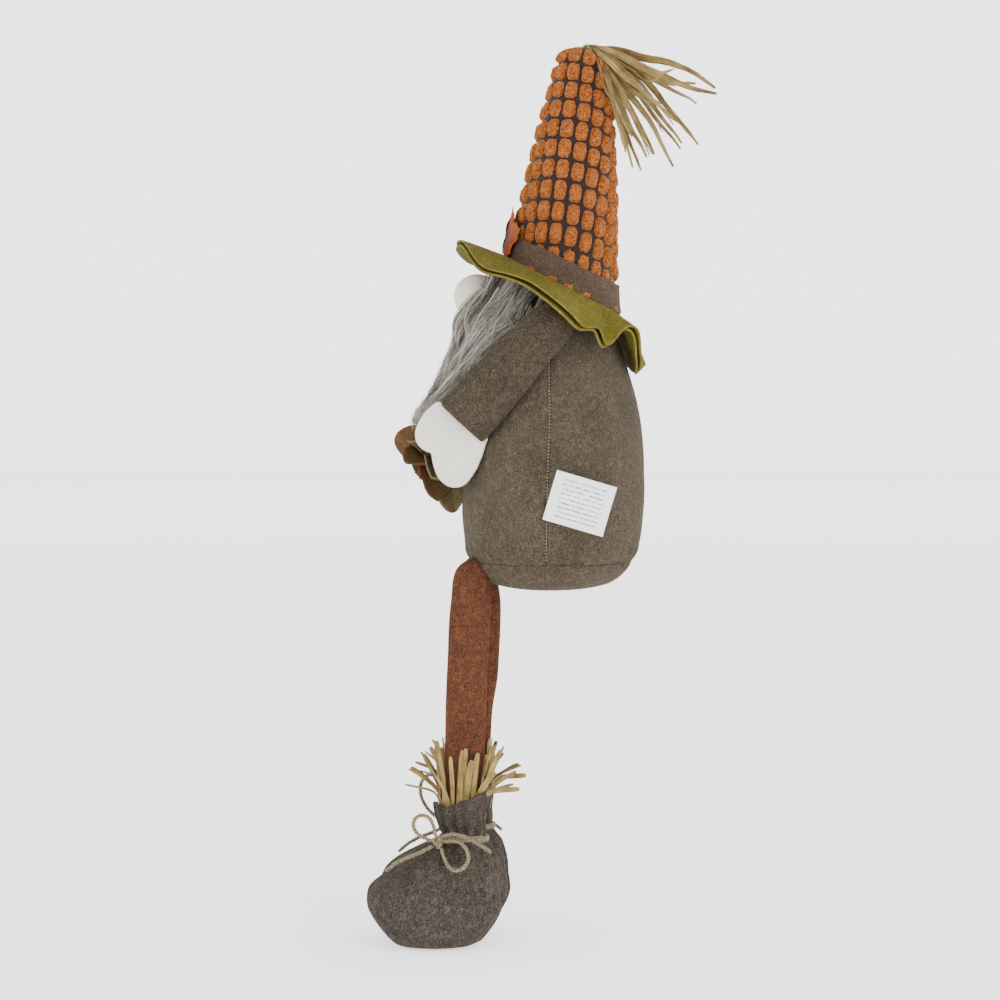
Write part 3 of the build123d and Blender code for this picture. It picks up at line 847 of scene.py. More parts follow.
def make_leaf(name, size, place, material, node, curl, tip, seed):
    outline = MAPLE_HALF + [(-x, y) for x, y in MAPLE_HALF[::-1] if x > 0]
    rings = 9
    points, uvs = [], []
    for ring in range(rings):
        share = (ring + 0.35) / (rings - 0.65)
        for x, y in outline:
            px, py = x * share * size, y * share * size
            reach = math.hypot(px, py) / size
            rib = 0.06 * size * abs(math.sin(math.atan2(px, py) * 2.5)) * share
            crumple = 0.06 * size * noise.noise(Vector((px / 7, py / 7, seed)))
            lift = curl * size * reach ** 2 + tip * size * max(0.0, py / size) ** 2.5 - rib + crumple
            points.append(tuple(place @ Vector((px, py, lift))))
            uvs.append((share, seed + reach))
    count = len(outline)
    faces = sheet_faces(rings, count, closed=True)
    faces.append(tuple(range(count)))
    leaf = add_piece(name, points, faces, material, uvs=uvs)
    modify(leaf, "SUBSURF", levels=1, render_levels=1)
    modify(leaf, "SOLIDIFY", thickness=THIN_CLOTH * MM, offset=0)
    apply_modifiers(leaf)
    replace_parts(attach(leaf, "root"), node)


def upright(x, y, z, pitch, roll, yaw):
    """A leaf's place: its face turned to the front, then tipped and turned."""
    return (Matrix.Translation((x, y, z)) @ Matrix.Rotation(math.radians(yaw), 4, "Z")
            @ Matrix.Rotation(math.radians(90 - pitch), 4, "X") @ Matrix.Rotation(math.radians(roll), 4, "Z"))


def make_leaves():
    make_leaf("leaf_large", 25, upright(7, -31.0, 214.5, 14, -12, 12), leaf_orange,
              "hat_leaf_large", -0.28, 0.34, 1.0)
    make_leaf("leaf_small", 18, upright(-14, -30.5, 217, 12, 26, -20), leaf_yellow,
              "hat_leaf_small", -0.24, 0.4, 2.0)


def ribbon(heap, path, widths, thick, side_at, seed, twist=0.0):
    """A flat strip along a path, with its own place in the streaked texture."""
    points, uvs = [], []
    length = 0.0
    for i, centre in enumerate(path):
        ahead = path[min(i + 1, len(path) - 1)] - path[max(i - 1, 0)]
        ahead.normalize()
        side = side_at - ahead * side_at.dot(ahead)
        side.normalize()
        side = Matrix.Rotation(twist * i / (len(path) - 1), 3, ahead) @ side
        up = ahead.cross(side)
        if i:
            length += (centre - path[i - 1]).length
        half = widths[i] / 2
        cup = 0.22 * half
        profile = [(-half, cup), (-half * 0.4, -cup * 0.4), (half * 0.4, -cup * 0.4), (half, cup)]
        ring = [(a, b + thick / 2) for a, b in profile] + [(a, b - thick / 2) for a, b in profile[::-1]]
        for a, b in ring:
            points.append(tuple(centre + side * a + up * b))
            uvs.append((seed + a, seed * 3.7 + length))
    heap.add(points, tube_faces(len(path), 8, flip=True), uvs)


# Raffia strips at the hat's tip: turn from the back towards the left, reach, fall, width and twist.
TASSEL = [
    (4, 81, 13, 4.4, 0.3), (12, 84, 35, 3.8, -0.4), (-12, 70, 26, 3.4, 0.8), (24, 64, 58, 3.4, 0.5),
    (-26, 62, 44, 3.0, -0.9), (8, 60, 62, 3.8, 0.9), (-4, 55, 74, 3.4, -0.4), (34, 52, 66, 3.2, 1.1),
    (-38, 54, 60, 3.0, 0.7), (18, 44, 76, 3.2, -0.8), (-18, 40, 70, 3.2, 0.6), (0, 34, 74, 2.8, 1.2),
    (46, 40, 60, 2.8, -0.5), (-50, 42, 56, 2.8, 0.9), (58, 34, 40, 2.6, 0.7), (-64, 36, 44, 2.6, -0.6),
    (28, 30, 58, 2.6, 0.4), (-30, 28, 54, 2.6, -1.1), (10, 72, 50, 3.4, 0.8), (-8, 70, 40, 2.8, -1.0),
    (20, 56, 30, 2.0, 1.8), (12, 30, 70, 2.8, 0.6), (-10, 36, 84, 3.0, -0.5), (32, 66, 24, 2.6, 0.5),
    (2, 68, 50, 3.4, -0.7), (16, 50, 52, 3.2, 0.9), (40, 60, 46, 2.8, -0.6), (-22, 66, 58, 3.0, 0.4),
]


STRIP_STEPS = 15                # points along a strip of raffia or straw
RAFFIA_THICK = 0.42
STRAW_THICK = 0.45


def make_tassel():
    rng = random.Random(23)
    heap = Heap()
    tip = cone_place @ Vector((0, 0, HAT_HEIGHT))
    for number, (turn, reach, fall, width, twist) in enumerate(TASSEL):
        a = math.radians(turn)
        away = Vector((math.sin(a), math.cos(a), 0))
        side = Vector((away.y, -away.x, 0))
        path, widths = [], []
        wobble = rng.uniform(0, 20)
        lift = -1.5 + 2.4 * (number % 5) / 4
        kink = rng.uniform(-0.55, 0.45)
        for step in range(STRIP_STEPS):
            part = step / (STRIP_STEPS - 1)
            out = 1.5 + (reach - 1.5) * part
            drop = fall * part ** 1.35 - 2.0 * math.sin(math.pi * min(1, part * 2.2)) * (1 - part)
            drop += kink * max(0.0, part - 0.62) * reach
            bend = 8.5 * part * noise.noise(Vector((part * 3, wobble, 0)))
            rise = 7.0 * part * noise.noise(Vector((part * 3.4, wobble, 7)))
            path.append(tip + away * out + side * bend + Vector((0, 0, lift - drop + rise)))
            widths.append(1.05 * width * (0.72 + 0.5 * math.sin(math.pi * min(1, part * 1.25)) ** 0.7)
                          * (1 if part < 0.86 else 1 - 3.2 * (part - 0.86)))
        facing = Vector((rng.uniform(-0.7, 0.7), 0.3, 1))
        ribbon(heap, path, widths, RAFFIA_THICK, facing, rng.uniform(0, 60), twist)
    strips = heap.piece("tassel_raffia", raffia, "root")
    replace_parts(strips, "tassel_strips")

    knot = Heap()
    for turn in range(5):
        path, widths = [], []
        for step in range(13):
            a = math.tau * step / 12 + turn
            radius = 2.6 + 0.4 * math.sin(2 * a + turn)
            path.append(tip + Vector((radius * math.cos(a), 2.0 + radius * math.sin(a) * 0.9, -2.2 + turn * 0.7)))
            widths.append(1.9)
        ribbon(knot, path, widths, 0.5, Vector((0, 0, 1)), turn * 9.0)
    tie = knot.piece("tassel_knot", raffia, "root")
    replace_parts(tie, "tassel_tie")


# ---- face ---------------------------------------------------------------------------------
NOSE_PLACE = (0.0, -48.5, 180.5)
NOSE_RADIUS = 14.5


def make_nose():
    """A stuffed cloth ball, gathered at the back."""
    columns, rows = 64, 40
    points = []
    for r in range(rows):
        lat = math.pi * (r + 0.001) / (rows - 1 + 0.002)
        for c in range(columns):
            a = math.tau * c / columns
            radius = NOSE_RADIUS * (1 - 0.05 * (r / rows) ** 6)
            radius += 0.35 * ripple(math.cos(a) * 12, math.sin(a) * 12, r, 9, 1.0)
            gather = max(0.0, r / rows - 0.72) * 2.2
            radius += gather * math.sin(a * 17)
            points.append((NOSE_PLACE[0] + radius * math.sin(lat) * math.cos(a), NOSE_PLACE[1] - radius * math.cos(lat),
                           NOSE_PLACE[2] + radius * 0.98 * math.sin(lat) * math.sin(a)))
    faces = sheet_faces(rows, columns, closed=True)
    nose = add_piece("nose_cover", points, faces, nose_cloth, "root")
    outward(nose)
    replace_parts(nose, "nose_ball")


# The beard's surface, from its top to its lower end: height, Y at the middle, Y at the edge, half width.
BEARD_ROWS = [
    (199, -31, -2, 40),
    (176, -43, -10, 47),
    (161, -52, -19, 50),
    (146, -60, -32, 48),
    (131, -66.5, -45, 42),
    (118, -74, -57, 33),
    (108, -81, -68, 21),
    (101, -85, -76, 11),
]


def beard_point(u, v, out=0.0):
    """A point of the beard; u runs across from -1 to 1 and v from its top, 0, to its end, 1."""
    z, middle, edge, half = through(BEARD_ROWS, v * (len(BEARD_ROWS) - 1))
    round_off = math.sqrt(max(0.0, 1 - min(1.0, abs(u)) ** 2.2))
    y = edge + (middle - edge) * round_off - out * (0.4 + 0.6 * round_off)
    return Vector((u * (half + 0.5 * out), y, z - (3.0 + 9.0 * max(0.0, 1 - 2 * v)) * u * u))


def make_beard_core():
    """The dense underfur, a rough slab that the long strands grow from."""
    columns, rows = 60, 60
    points, uvs = [], []
    for r in range(rows):
        v = 0.93 * r / (rows - 1)
        for c in range(columns):
            u = 2 * c / (columns - 1) - 1
            p = beard_point(u * 0.93, v, -3.0)
            tuft = 1.3 * noise.noise(Vector((p.x / 3.2, p.y / 3.2, p.z / 11)))
            points.append((p.x, p.y - tuft, p.z))
            uvs.append((0.22 + 0.18 * noise.noise(Vector((p.x / 1.1, p.z / 9, 4))), 0.1))
    core = add_piece("beard_underfur", points, sheet_faces(rows, columns), fur_grey, uvs=uvs)
    modify(core, "SOLIDIFY", thickness=3.5 * MM, offset=1)
    outward(core)
    apply_modifiers(core)
    return core


def strand(heap, guide, root_shift, tip_shift, wave, width, shade):
    """A hair that follows a lock's guide: three-sided and pointed."""
    steps = len(guide)
    points, uvs = [], []
    for i, g in enumerate(guide):
        part = i / (steps - 1)
        shift = root_shift * (1 - part) + tip_shift * part
        curl = Vector((math.sin(part * 5 + wave), 0.5 * math.cos(part * 4 + wave), 0)) * 0.7 * part
        centre = g + shift + curl
        size = width * (1 - 0.85 * part)
        for corner in range(3):
            a = math.tau * corner / 3 + wave
            points.append((centre.x + size * math.cos(a), centre.y + size * math.sin(a), centre.z))
            uvs.append((shade, part))
    faces = sheet_faces(steps, 3, closed=True)
    heap.add(points, faces, uvs)


LOCKS = 330
HAIRS_IN_LOCK = 23


def make_beard_hair():
    rng = random.Random(7)
    left, right = Heap(), Heap()
    steps = 9
    for lock in range(LOCKS):
        v0 = rng.random() ** 1.15 * 0.80
        u0 = rng.uniform(-1, 1)
        if lock % 3 == 0:
            u0 = math.copysign(rng.uniform(0.72, 1.0), u0)
        if abs(u0) < 0.36 and v0 < 0.20:
            v0 = rng.uniform(0.2, 0.3)
        beside_nose = lock % 5 == 1
        if beside_nose:
            u0, v0 = math.copysign(rng.uniform(0.22, 0.5), u0), rng.uniform(0.0, 0.12)
        span = min(rng.uniform(0.26, 0.42), 1.04 - v0 + rng.uniform(-0.03, 0.03))
        drift = rng.uniform(-0.12, 0.12)
        puff = rng.uniform(0.5, 6.5)
        if beside_nose:
            puff = rng.uniform(7.0, 14.0)
        rooted_out = 0.5 if beside_nose else 0.0
        sway = rng.uniform(1.2, 3.4) * (1.7 if v0 > 0.55 else 1.0)
        tone = rng.random()
        phase = rng.uniform(0, 30)
        guide = []
        for i in range(steps):
            part = i / (steps - 1)
            u = max(-1.0, min(1.0, u0 + drift * part + 0.07 * noise.noise(Vector((part * 2.4, phase, 0)))))
            swell = max(rooted_out * (1 - part), math.sin(math.pi * min(1.0, part * 1.15)))
            bulge = puff * swell + 1.2 * noise.noise(Vector((part * 3, phase, 5)))
            place = beard_point(u, v0 + span * part, bulge)
            place.x += sway * part * math.sin(part * 7 + phase)
            place.y += 0.8 * sway * part * math.cos(part * 6.3 + phase * 1.7)
            guide.append(place)
        for _ in range(HAIRS_IN_LOCK):
            root = Vector((rng.gauss(0, 2.6), rng.gauss(0, 0.8), rng.gauss(0, 2.6)))
            tip = Vector((rng.gauss(0, 0.9), rng.gauss(0, 0.7), rng.gauss(0, 2.4)))
            shade = min(1.0, max(0.0, 0.92 * (0.55 * tone + 0.45 * rng.random()) + rng.gauss(0, 0.16)))
            strand(left if u0 > 0 else right, guide, root, tip, rng.uniform(0, 6.28), rng.uniform(0.14, 0.26), shade)
    return left.piece("beard_strands_left", fur_grey), right.piece("beard_strands_right", fur_grey)


def make_beard():
    core = make_beard_core()
    left, right = make_beard_hair()
    for piece in (core, left, right):
        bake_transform(piece)
    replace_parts(core, "beard_top")
    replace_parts(left, "beard_fur")

    columns, rows = 24, 40
    points = []
    for r in range(rows):
        v = 0.36 + 0.52 * r / (rows - 1)
        for c in range(columns):
            points.append(tuple(beard_point((2 * c / (columns - 1) - 1) * 0.85, v, -8.0)))
    backing = add_piece("beard_cloth", points, sheet_faces(rows, columns), backing_cloth)
    modify(backing, "SOLIDIFY", thickness=0.8 * MM, offset=0)
    apply_modifiers(backing)
    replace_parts(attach(backing, "beard"), "beard_backing")


# ---- care label ---------------------------------------------------------------------------
LABEL_PLACE = (Matrix.Translation((71.9, 1.0, 60.5)) @ Matrix.Rotation(math.radians(9), 4, "Z")
               @ Matrix.Rotation(math.radians(-16.5), 4, "X"))
LABEL_SIZE = (38.0, 31.0)


def make_label():
    """A ribbon sewn in by one short edge, following the body and lifting a little at its free end."""
    columns, rows = 40, 30
    points, uvs = [], []
    for r in range(rows):
        for c in range(columns):
            along, up = c / (columns - 1), r / (rows - 1) - 0.5
            bow = 1.6 * math.sin(math.pi * along) - 1.7 * along ** 2
            curl = 1.3 * along ** 3 * (2 * up) ** 2 + 0.35 * noise.noise(Vector((along * 5, up * 5, 2)))
            place = LABEL_PLACE @ Vector((bow + curl, along * LABEL_SIZE[0], up * LABEL_SIZE[1]))
            points.append(tuple(place))
            uvs.append((along, r / (rows - 1)))
    label = add_piece("care_label_cloth", points, sheet_faces(rows, columns), label_satin, uvs=uvs)
    modify(label, "SOLIDIFY", thickness=THIN_CLOTH * MM, offset=0)
    apply_modifiers(label)
    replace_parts(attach(label, "label"), "care_label")


# ---- arms ---------------------------------------------------------------------------------
SHOULDER = Vector((0, -3.5, 162.5))
CUFF = Vector((0, -57.0, 104.0))
# Distance from the shoulder, middle X, width and thickness.
SLEEVE_ROWS = [
    (-17.0, 48.0, 9.0, 4.0),
    (-14.0, 50.0, 18.0, 8.0),
    (-6.0, 54.0, 25.0, 13.0),
    (6.0, 59.0, 29.0, 16.5),
    (20.0, 61.8, 31.5, 18.0),
    (40.0, 62.5, 34.0, 18.5),
    (62.0, 58.5, 35.0, 18.0),
    (76.0, 52.6, 35.5, 15.5),
    (79.5, 51.5, 35.0, 13.0),
    (81.0, 50.8, 33.0, 8.4),
]
ARM_BACK = 4.0                  # how far the covers sit behind the middle of their solids
arm_along = (CUFF - SHOULDER).normalized()
arm_across = Vector((1, 0, 0)).cross(arm_along)


def make_sleeve(side, sign):
    columns, rows = 96, 110
    first, last = SLEEVE_ROWS[0][0], SLEEVE_ROWS[-1][0]
    points = []
    for r in range(rows):
        share = r / (rows - 1)
        distance = first + (last - first) * share
        x, width, thick = at_key(SLEEVE_ROWS, distance)
        near = math.exp(-(max(0.0, distance) / 22) ** 1.5)
        for c in range(columns):
            a = math.tau * c / columns
            fold = 1.0 * near * math.sin(5 * a + 1.0 + 0.06 * distance) * min(1, (distance - first) / 8)
            bend = 0.9 * math.exp(-((distance - 14 - 9 * math.cos(a)) / 3.4) ** 2)
            middle = SHOULDER + arm_along * distance
            dent = 0.9 * ripple(x, middle.y + 30 * math.cos(a), middle.z + 30 * math.sin(a), 26, 2.0 + sign)
            seam = 0.9 * math.exp(-(math.sin((a + 1.9) / 2) * 30 / 1.6) ** 2)
            out = (dent - bend - seam) * min(1, (last - distance) / 6, (distance - first) / 8) + fold
            place = middle + arm_across * math.sin(a) * (width / 2 + out)
            points.append((sign * (x + math.cos(a) * (thick / 2 + out)), place.y + ARM_BACK, place.z))
    # The sleeves wear the darker copy of the body's felt, which is painted shade.
    sleeve = add_piece(f"{side}_sleeve_felt_painted_shade", points, tube_faces(rows, columns), sleeve_felt_painted_shade, "arms")
    outward(sleeve)
    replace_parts(sleeve, f"{side}_sleeve", f"{side}_arm_stuffing")


HAND_CORNER = Vector((50.0, -42.5, 93.0))
HAND_TURN = -18.0
# Along Y and up from the cuff's back corner: palm, fingers, notch and thumb.
HAND_EDGE = [
    (0.0, 0.0), (-1.2, -5.0), (-3.4, -11.8), (-7.4, -20.2), (-12.6, -27.2), (-16.4, -30.0), (-20.3, -31.0),
    (-24.6, -30.4), (-28.0, -28.6), (-31.2, -25.6), (-33.3, -22.0), (-35.4, -15.6), (-36.4, -10.4), (-39.4, -9.3),
    (-43.0, -7.2), (-45.6, -4.3), (-46.9, -0.4), (-46.8, 3.6), (-45.3, 7.4), (-43.0, 11.4), (-39.8, 15.4),
    (-36.2, 18.4), (-31.4, 21.2), (-24.0, 17.0), (-15.0, 10.4), (-6.0, 4.2),
]


def make_hand(side, sign):
    """A mitten cut from two layers of felt, sewn near the edge and lightly stuffed."""
    edge = []
    count = len(HAND_EDGE)
    for step in range(count * 4):
        i, f = divmod(step / 4, 1)
        i = int(i)
        p = [HAND_EDGE[(i + k) % count] for k in (-1, 0, 1, 2)]
        corner = i in (22, 25, 23, 24)
        if corner:
            edge.append((p[1][0] * (1 - f) + p[2][0] * f, p[1][1] * (1 - f) + p[2][1] * f))
            continue
        value = [0.5 * (2 * b + (c - a) * f + (2 * a - 5 * b + 4 * c - d) * f * f + (3 * b - a - 3 * c + d) * f ** 3)
                 for a, b, c, d in zip(*p)]
        edge.append(tuple(value))
    middle = Vector((-21.0, -6.0))
    shares = [1.0, 0.985, 0.95, 0.915, 0.88, 0.82, 0.72, 0.6, 0.46, 0.3, 0.15, 0.04]
    turn = Matrix.Translation(HAND_CORNER) @ Matrix.Rotation(math.radians(HAND_TURN), 4, "Z")
    points = []
    for face in (1, -1):
        for share in shares:
            if share > 0.95:
                half = 1.35
            elif share > 0.9:
                half = 1.05
            else:
                half = 1.05 + 2.5 * (1 - (share / 0.9) ** 3) ** 0.6
            for a, b in edge:
                flat = middle + (Vector((a, b)) - middle) * share
                wave = 0.35 * noise.noise(Vector((flat.x / 9, flat.y / 9, 3)))
                place = turn @ Vector((face * half + wave, flat.x, flat.y))
                points.append((sign * place.x, place.y + ARM_BACK, place.z + 1.5))
    columns, rings = len(edge), len(shares)
    faces = sheet_faces(rings, columns, closed=True) + sheet_faces(rings, columns, True, first=rings * columns)
    rim = len(faces)
    faces += [(c, (c + 1) % columns, rings * columns + (c + 1) % columns, rings * columns + c) for c in range(columns)]
    for face in range(2):
        last = (face * rings + rings - 1) * columns
        faces.append(tuple(range(last, last + columns)))
    hand = add_piece(f"{side}_mitten", points, faces, hand_felt, "arms")
    hand.data.materials.append(hand_rim_felt)
    for number in range(rim, rim + columns):
        hand.data.polygons[number].material_index = 1
    outward(hand)
    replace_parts(hand, f"{side}_hand")


# ---- flower -------------------------------------------------------------------------------
FLOWER_PLACE = Matrix.Translation((0, -77.5, 77.0)) @ Matrix.Rotation(math.radians(127), 4, "X")


PETAL_START = 2.0               # from the flower's middle
PETAL_FELT = 1.4


def petal(heap, turn, roll, length, width, rise, fold, seed):
    """One felt petal: creased along its middle, its edges rolled and its tip lifted."""
    steps, across = 16, 11
    a = math.radians(turn)
    out, side = Vector((math.cos(a), math.sin(a), 0)), Vector((-math.sin(a), math.cos(a), 0))
    rolled = Matrix.Rotation(math.radians(roll), 3, out)
    top, uvs = [], []
    for i in range(steps):
        part = 1 - (1 - i / (steps - 1)) ** 1.5
        widen = 0.36 + 0.64 * min(1.0, part / 0.45) ** 0.8
        close = math.sqrt(max(0.0, 1 - max(0.0, (part - 0.45) / 0.55) ** 2.8))
        half = width / 2 * widen * max(close, 0.16)
        for j in range(across):
            u = 2 * j / (across - 1) - 1
            bent = math.sqrt(u * u + 0.012)
            wave = 0.9 * noise.noise(Vector((part * 2.2, u * 1.6, seed)))
            lift = rise * (0.25 * part + 0.75 * part ** 2.2)
            drop = half * bent * math.sin(fold) * min(1, 2 * part)
            across_it = rolled @ (side * (u * half * math.cos(fold)) + Vector((0, 0, wave - drop)))
            top.append(out * (PETAL_START + length * part) + across_it + Vector((0, 0, lift)))
            uvs.append((u, part))
    count = steps * across
    under = rolled @ Vector((0, 0, PETAL_FELT))
    points = [FLOWER_PLACE @ p for p in top] + [FLOWER_PLACE @ (p - under) for p in top]
    faces = sheet_faces(steps, across) + sheet_faces(steps, across, first=count)
    rim = [j for j in range(across)] + [i * across + across - 1 for i in range(1, steps)]
    rim += [(steps - 1) * across + j for j in range(across - 2, -1, -1)] + [i * across for i in range(steps - 2, 0, -1)]
    for k, p in enumerate(rim):
        q = rim[(k + 1) % len(rim)]
        faces.append((p, q, count + q, count + p))
    heap.add([tuple(p) for p in points], faces, uvs * 2)


# Ring of petals: lift, colour, replaced node and a slot name that is not used, then each petal's turn, roll, length,
# width, rise and fold.
PETAL_RINGS = [
    ("petals_khaki", -1.0, petal_khaki, "flower_back_petals", "petal_khaki", [
        (54, 30, 20, 20, 3, 0.35), (126, -30, 20, 20, 3, 0.35), (198, -14, 27, 21, 5, 0.35), (342, 14, 27, 21, 5, 0.35),
        (254, -56, 31, 22, 6, 0.3), (284, 58, 33, 22, 6, 0.3)]),
    ("petals_brown", 0.5, petal_brown, "flower_front_petals", "petal_brown", [
        (90, 66, 26, 26, 3, 0.15), (20, 18, 23, 22, 9, 0.35), (160, -18, 23, 22, 9, 0.35), (226, -36, 24, 21, 8, 0.35),
        (312, 46, 27, 22, 8, 0.3)]),
    ("petals_rust", 2.0, petal_rust, None, "petal_brown", [
        (50, 20, 14, 14, 8, 0.3), (130, -20, 14, 14, 8, 0.3), (196, -10, 15, 14, 9, 0.3), (344, 10, 15, 14, 9, 0.3),
        (270, 40, 20, 16, 8, 0.3)]),
]


def make_flower():
    for name, lift, material, node, slot, petals in PETAL_RINGS:
        heap = Heap()
        for k, (turn, roll, length, width, rise, fold) in enumerate(petals):
            petal(heap, turn, roll, length, width, rise + 1.2 * math.sin(k * 1.7), fold, k * 3.3)
        heap.points = [tuple(Vector(p) + FLOWER_PLACE.to_3x3() @ Vector((0, 0, lift))) for p in heap.points]
        ring = heap.piece(name, material, "arms")
        outward(ring)
        if node:
            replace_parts(ring, node)

    columns, rows = 40, 22
    points = []
    for r in range(rows):
        lat = math.pi / 2 * r / (rows - 1)
        for c in range(columns):
            a = math.tau * c / columns
            radius = 9.5 * math.cos(lat) + 0.2
            bump = 1.0 + 0.09 * noise.noise(Vector((math.cos(a) * 2.4, math.sin(a) * 2.4, lat * 3)))
            points.append(tuple(FLOWER_PLACE @ Vector((radius * bump * math.cos(a), radius * bump * math.sin(a),
                                                       4.5 + 6.8 * math.sin(lat) * bump))))
    middle = add_piece("flower_centre", points, tube_faces(rows, columns), centre_felt, "arms")
    outward(middle)
    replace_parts(middle, "flower_middle")


# ---- legs ---------------------------------------------------------------------------------
LEG_X = 28.0
# Height, middle Y, width along Y and thickness along X.
LEG_ROWS = [
    (-158.0, -54.5, 18.0, 13.0),
    (-134.0, -54.2, 20.0, 14.5),
    (-118.0, -54.2, 23.8, 15.8),
    (-60.0, -52.8, 24.6, 16.0),
    (-25.0, -51.2, 24.8, 16.0),
    (-5.0, -50.2, 24.4, 16.0),
    (6.0, -49.8, 23.0, 16.0),
    (13.0, -48.6, 20.0, 15.0),
    (17.5, -47.0, 13.0, 11.5),
    (19.4, -46.4, 5.0, 5.0),
]
# Piece, lower and upper end, replaced node, then two bodies and two heights that are not used.
LEG_LENGTHS = [
    ("leg_top", -22.0, 19.4, "leg_upper", "root", "thigh", 14.0, 4.0),
    ("leg_knee", -82.0, -22.0, "leg_lower", "thigh", "shin", -42.0, -62.0),
    ("leg_foot_end", -158.0, -82.0, "leg_ankle", "shin", "foot", -104.0, -120.0),
]


def leg_ring(z, columns, sign):
    middle, width, thick = at_key(LEG_ROWS, z)
    back = 3.4 * math.exp(-((z + 38) / 36) ** 4) if sign < 0 else 0.0
    ring = []
    for c in range(columns):
        a = math.tau * c / columns
        ca, sa = math.cos(a), math.sin(a)
        square = (abs(ca) ** 2.6 + abs(sa) ** 2.6) ** (-1 / 2.6)
        out = 0.55 * ripple(ca * 9 + sign * 30, sa * 9, z, 19, 4.0)
        out -= 1.0 * math.exp(-(math.sin((a - 1.15) / 2) * 22 / 1.3) ** 2)
        x = ca * (thick / 2 * square + out)
        y = sa * (width / 2 * square + out)
        ring.append((sign * (LEG_X + x), middle + y + back, z))
    return ring


def make_leg(side, sign):
    columns = 64
    for name, low, high, node, above, below, z_from, z_to in LEG_LENGTHS:
        rows = int((high - low) / 1.1)
        points = []
        for r in range(rows):
            points += leg_ring(low + (high - low) * r / (rows - 1), columns, sign)
        piece = add_piece(f"{side}_{name}", points, tube_faces(rows, columns), leg_felt)
        outward(piece)
        flat_caps(piece)
        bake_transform(piece)
        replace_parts(piece, f"{side}_{node}")


# ---- feet ---------------------------------------------------------------------------------
# Height, front Y, back Y, half width.
SACK_ROWS = [
    (-221.5, -90.0, -57.0, 11.0),
    (-220.6, -95.0, -51.0, 16.0),
    (-218.0, -99.5, -46.0, 19.5),
    (-209.0, -107.8, -37.0, 24.2),
    (-196.0, -113.8, -30.5, 25.0),
    (-183.0, -111.0, -31.0, 25.0),
    (-172.0, -98.0, -31.5, 23.0),
    (-163.0, -80.0, -36.0, 18.3),
    (-156.5, -68.3, -41.0, 13.6),
    (-153.5, -67.3, -41.5, 12.9),
    (-150.5, -67.9, -41.2, 13.4),
    (-141.0, -71.6, -41.4, 15.3),
    (-127.0, -74.6, -38.2, 18.2),
]
SACK_NECK = -153.5
SACK_FELT = 1.2


def mouth_height(a):
    """The sack's cut edge; a is 0 at the front and a quarter turn at the figure's left."""
    return -129.5 - 4.2 * math.cos(a) + 1.6 * math.sin(3 * a + 0.6) + 0.9 * math.sin(5 * a)


def make_sack(side, sign):
    columns, rows = 168, 130
    points = []
    for r in range(rows):
        share = (r / (rows - 1)) ** 0.92
        for c in range(columns):
            a = math.tau * c / columns
            top = mouth_height(a)
            z = -221.5 + (top + 221.5) * share
            front, back, half = at_key(SACK_ROWS, z)
            if sign < 0:
                front += 3.5 * math.exp(-((z + 196) / 26) ** 2)
            middle, depth = (front + back) / 2, (back - front) / 2
            dx, dy = math.sin(a), -math.cos(a)
            from_neck = z - SACK_NECK
            pleat = math.exp(-(from_neck / (17 if from_neck < 0 else 26)) ** 2)
            fold = math.sin(13 * a + 2.2 * noise.noise(Vector((dx * 1.4, dy * 1.4, sign * 2.0))))
            fold = fold - 0.35 * fold * fold
            out = pleat * 1.35 * fold * (0.55 if abs(from_neck) < 3.5 else 1)
            puff = 1 if from_neck < 0 else 0.4
            x0, y0 = dx * half, middle + dy * depth
            out += puff * (2.2 * ripple(x0 + 60 * sign, y0, z, 27, 1.7) + 1.0 * ripple(x0 + 60 * sign, y0, z, 11, 6.1))
            if from_neck < -9:
                side_on = abs(dx)
                ridge = math.exp(-(side_on * half / 1.3) ** 2)
                beside = math.exp(-((side_on * half - 3.2) / 2.0) ** 2)
                fade = min(1, (-9 - from_neck) / 10)
                out += (1.1 * ridge - 0.6 * beside) * fade
            if share < 0.04:
                out *= share / 0.04
            points.append((sign * (LEG_X + x0 + dx * out), y0 + dy * out, max(z, -221.5)))
    faces = sheet_faces(rows, columns, closed=True)
    faces.append(tuple(range(columns)))
    sack = add_piece(f"{side}_sack", points, faces, sack_felt)
    outward(sack)
    modify(sack, "SOLIDIFY", thickness=SACK_FELT * MM, offset=-1)
    apply_modifiers(sack)
    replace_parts(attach(sack, f"{side}_foot"), f"{side}_foot_sack", f"{side}_foot_stuffing")


# Turn round the mouth from the figure's outside towards its front, lean from upright, length that shows, width.
STRAW = [
    (8, 6, 30, 3.4), (22, 16, 26, 2.6), (38, 34, 25, 3.0), (52, 12, 33, 2.8), (66, 50, 27, 3.6),
    (78, 26, 29, 3.0), (88, 74, 24, 3.2), (96, 8, 31, 2.6), (104, 60, 26, 4.0), (114, 30, 28, 3.2),
    (124, 10, 30, 3.0), (138, 18, 25, 2.6), (152, 8, 28, 3.2), (168, 12, 24, 2.8), (186, 8, 27, 3.4),
    (204, 14, 24, 2.6), (222, 10, 27, 3.0), (238, 28, 25, 3.4), (250, 8, 30, 3.0), (260, 58, 25, 3.6),
    (270, 80, 23, 3.2), (279, 22, 27, 3.0), (290, 70, 24, 2.8), (302, 14, 29, 3.6), (316, 44, 24, 3.0),
    (328, 10, 27, 2.8), (342, 26, 26, 3.4), (354, 12, 32, 2.6), (72, 4, 27, 3.8), (284, 6, 25, 3.6),
]


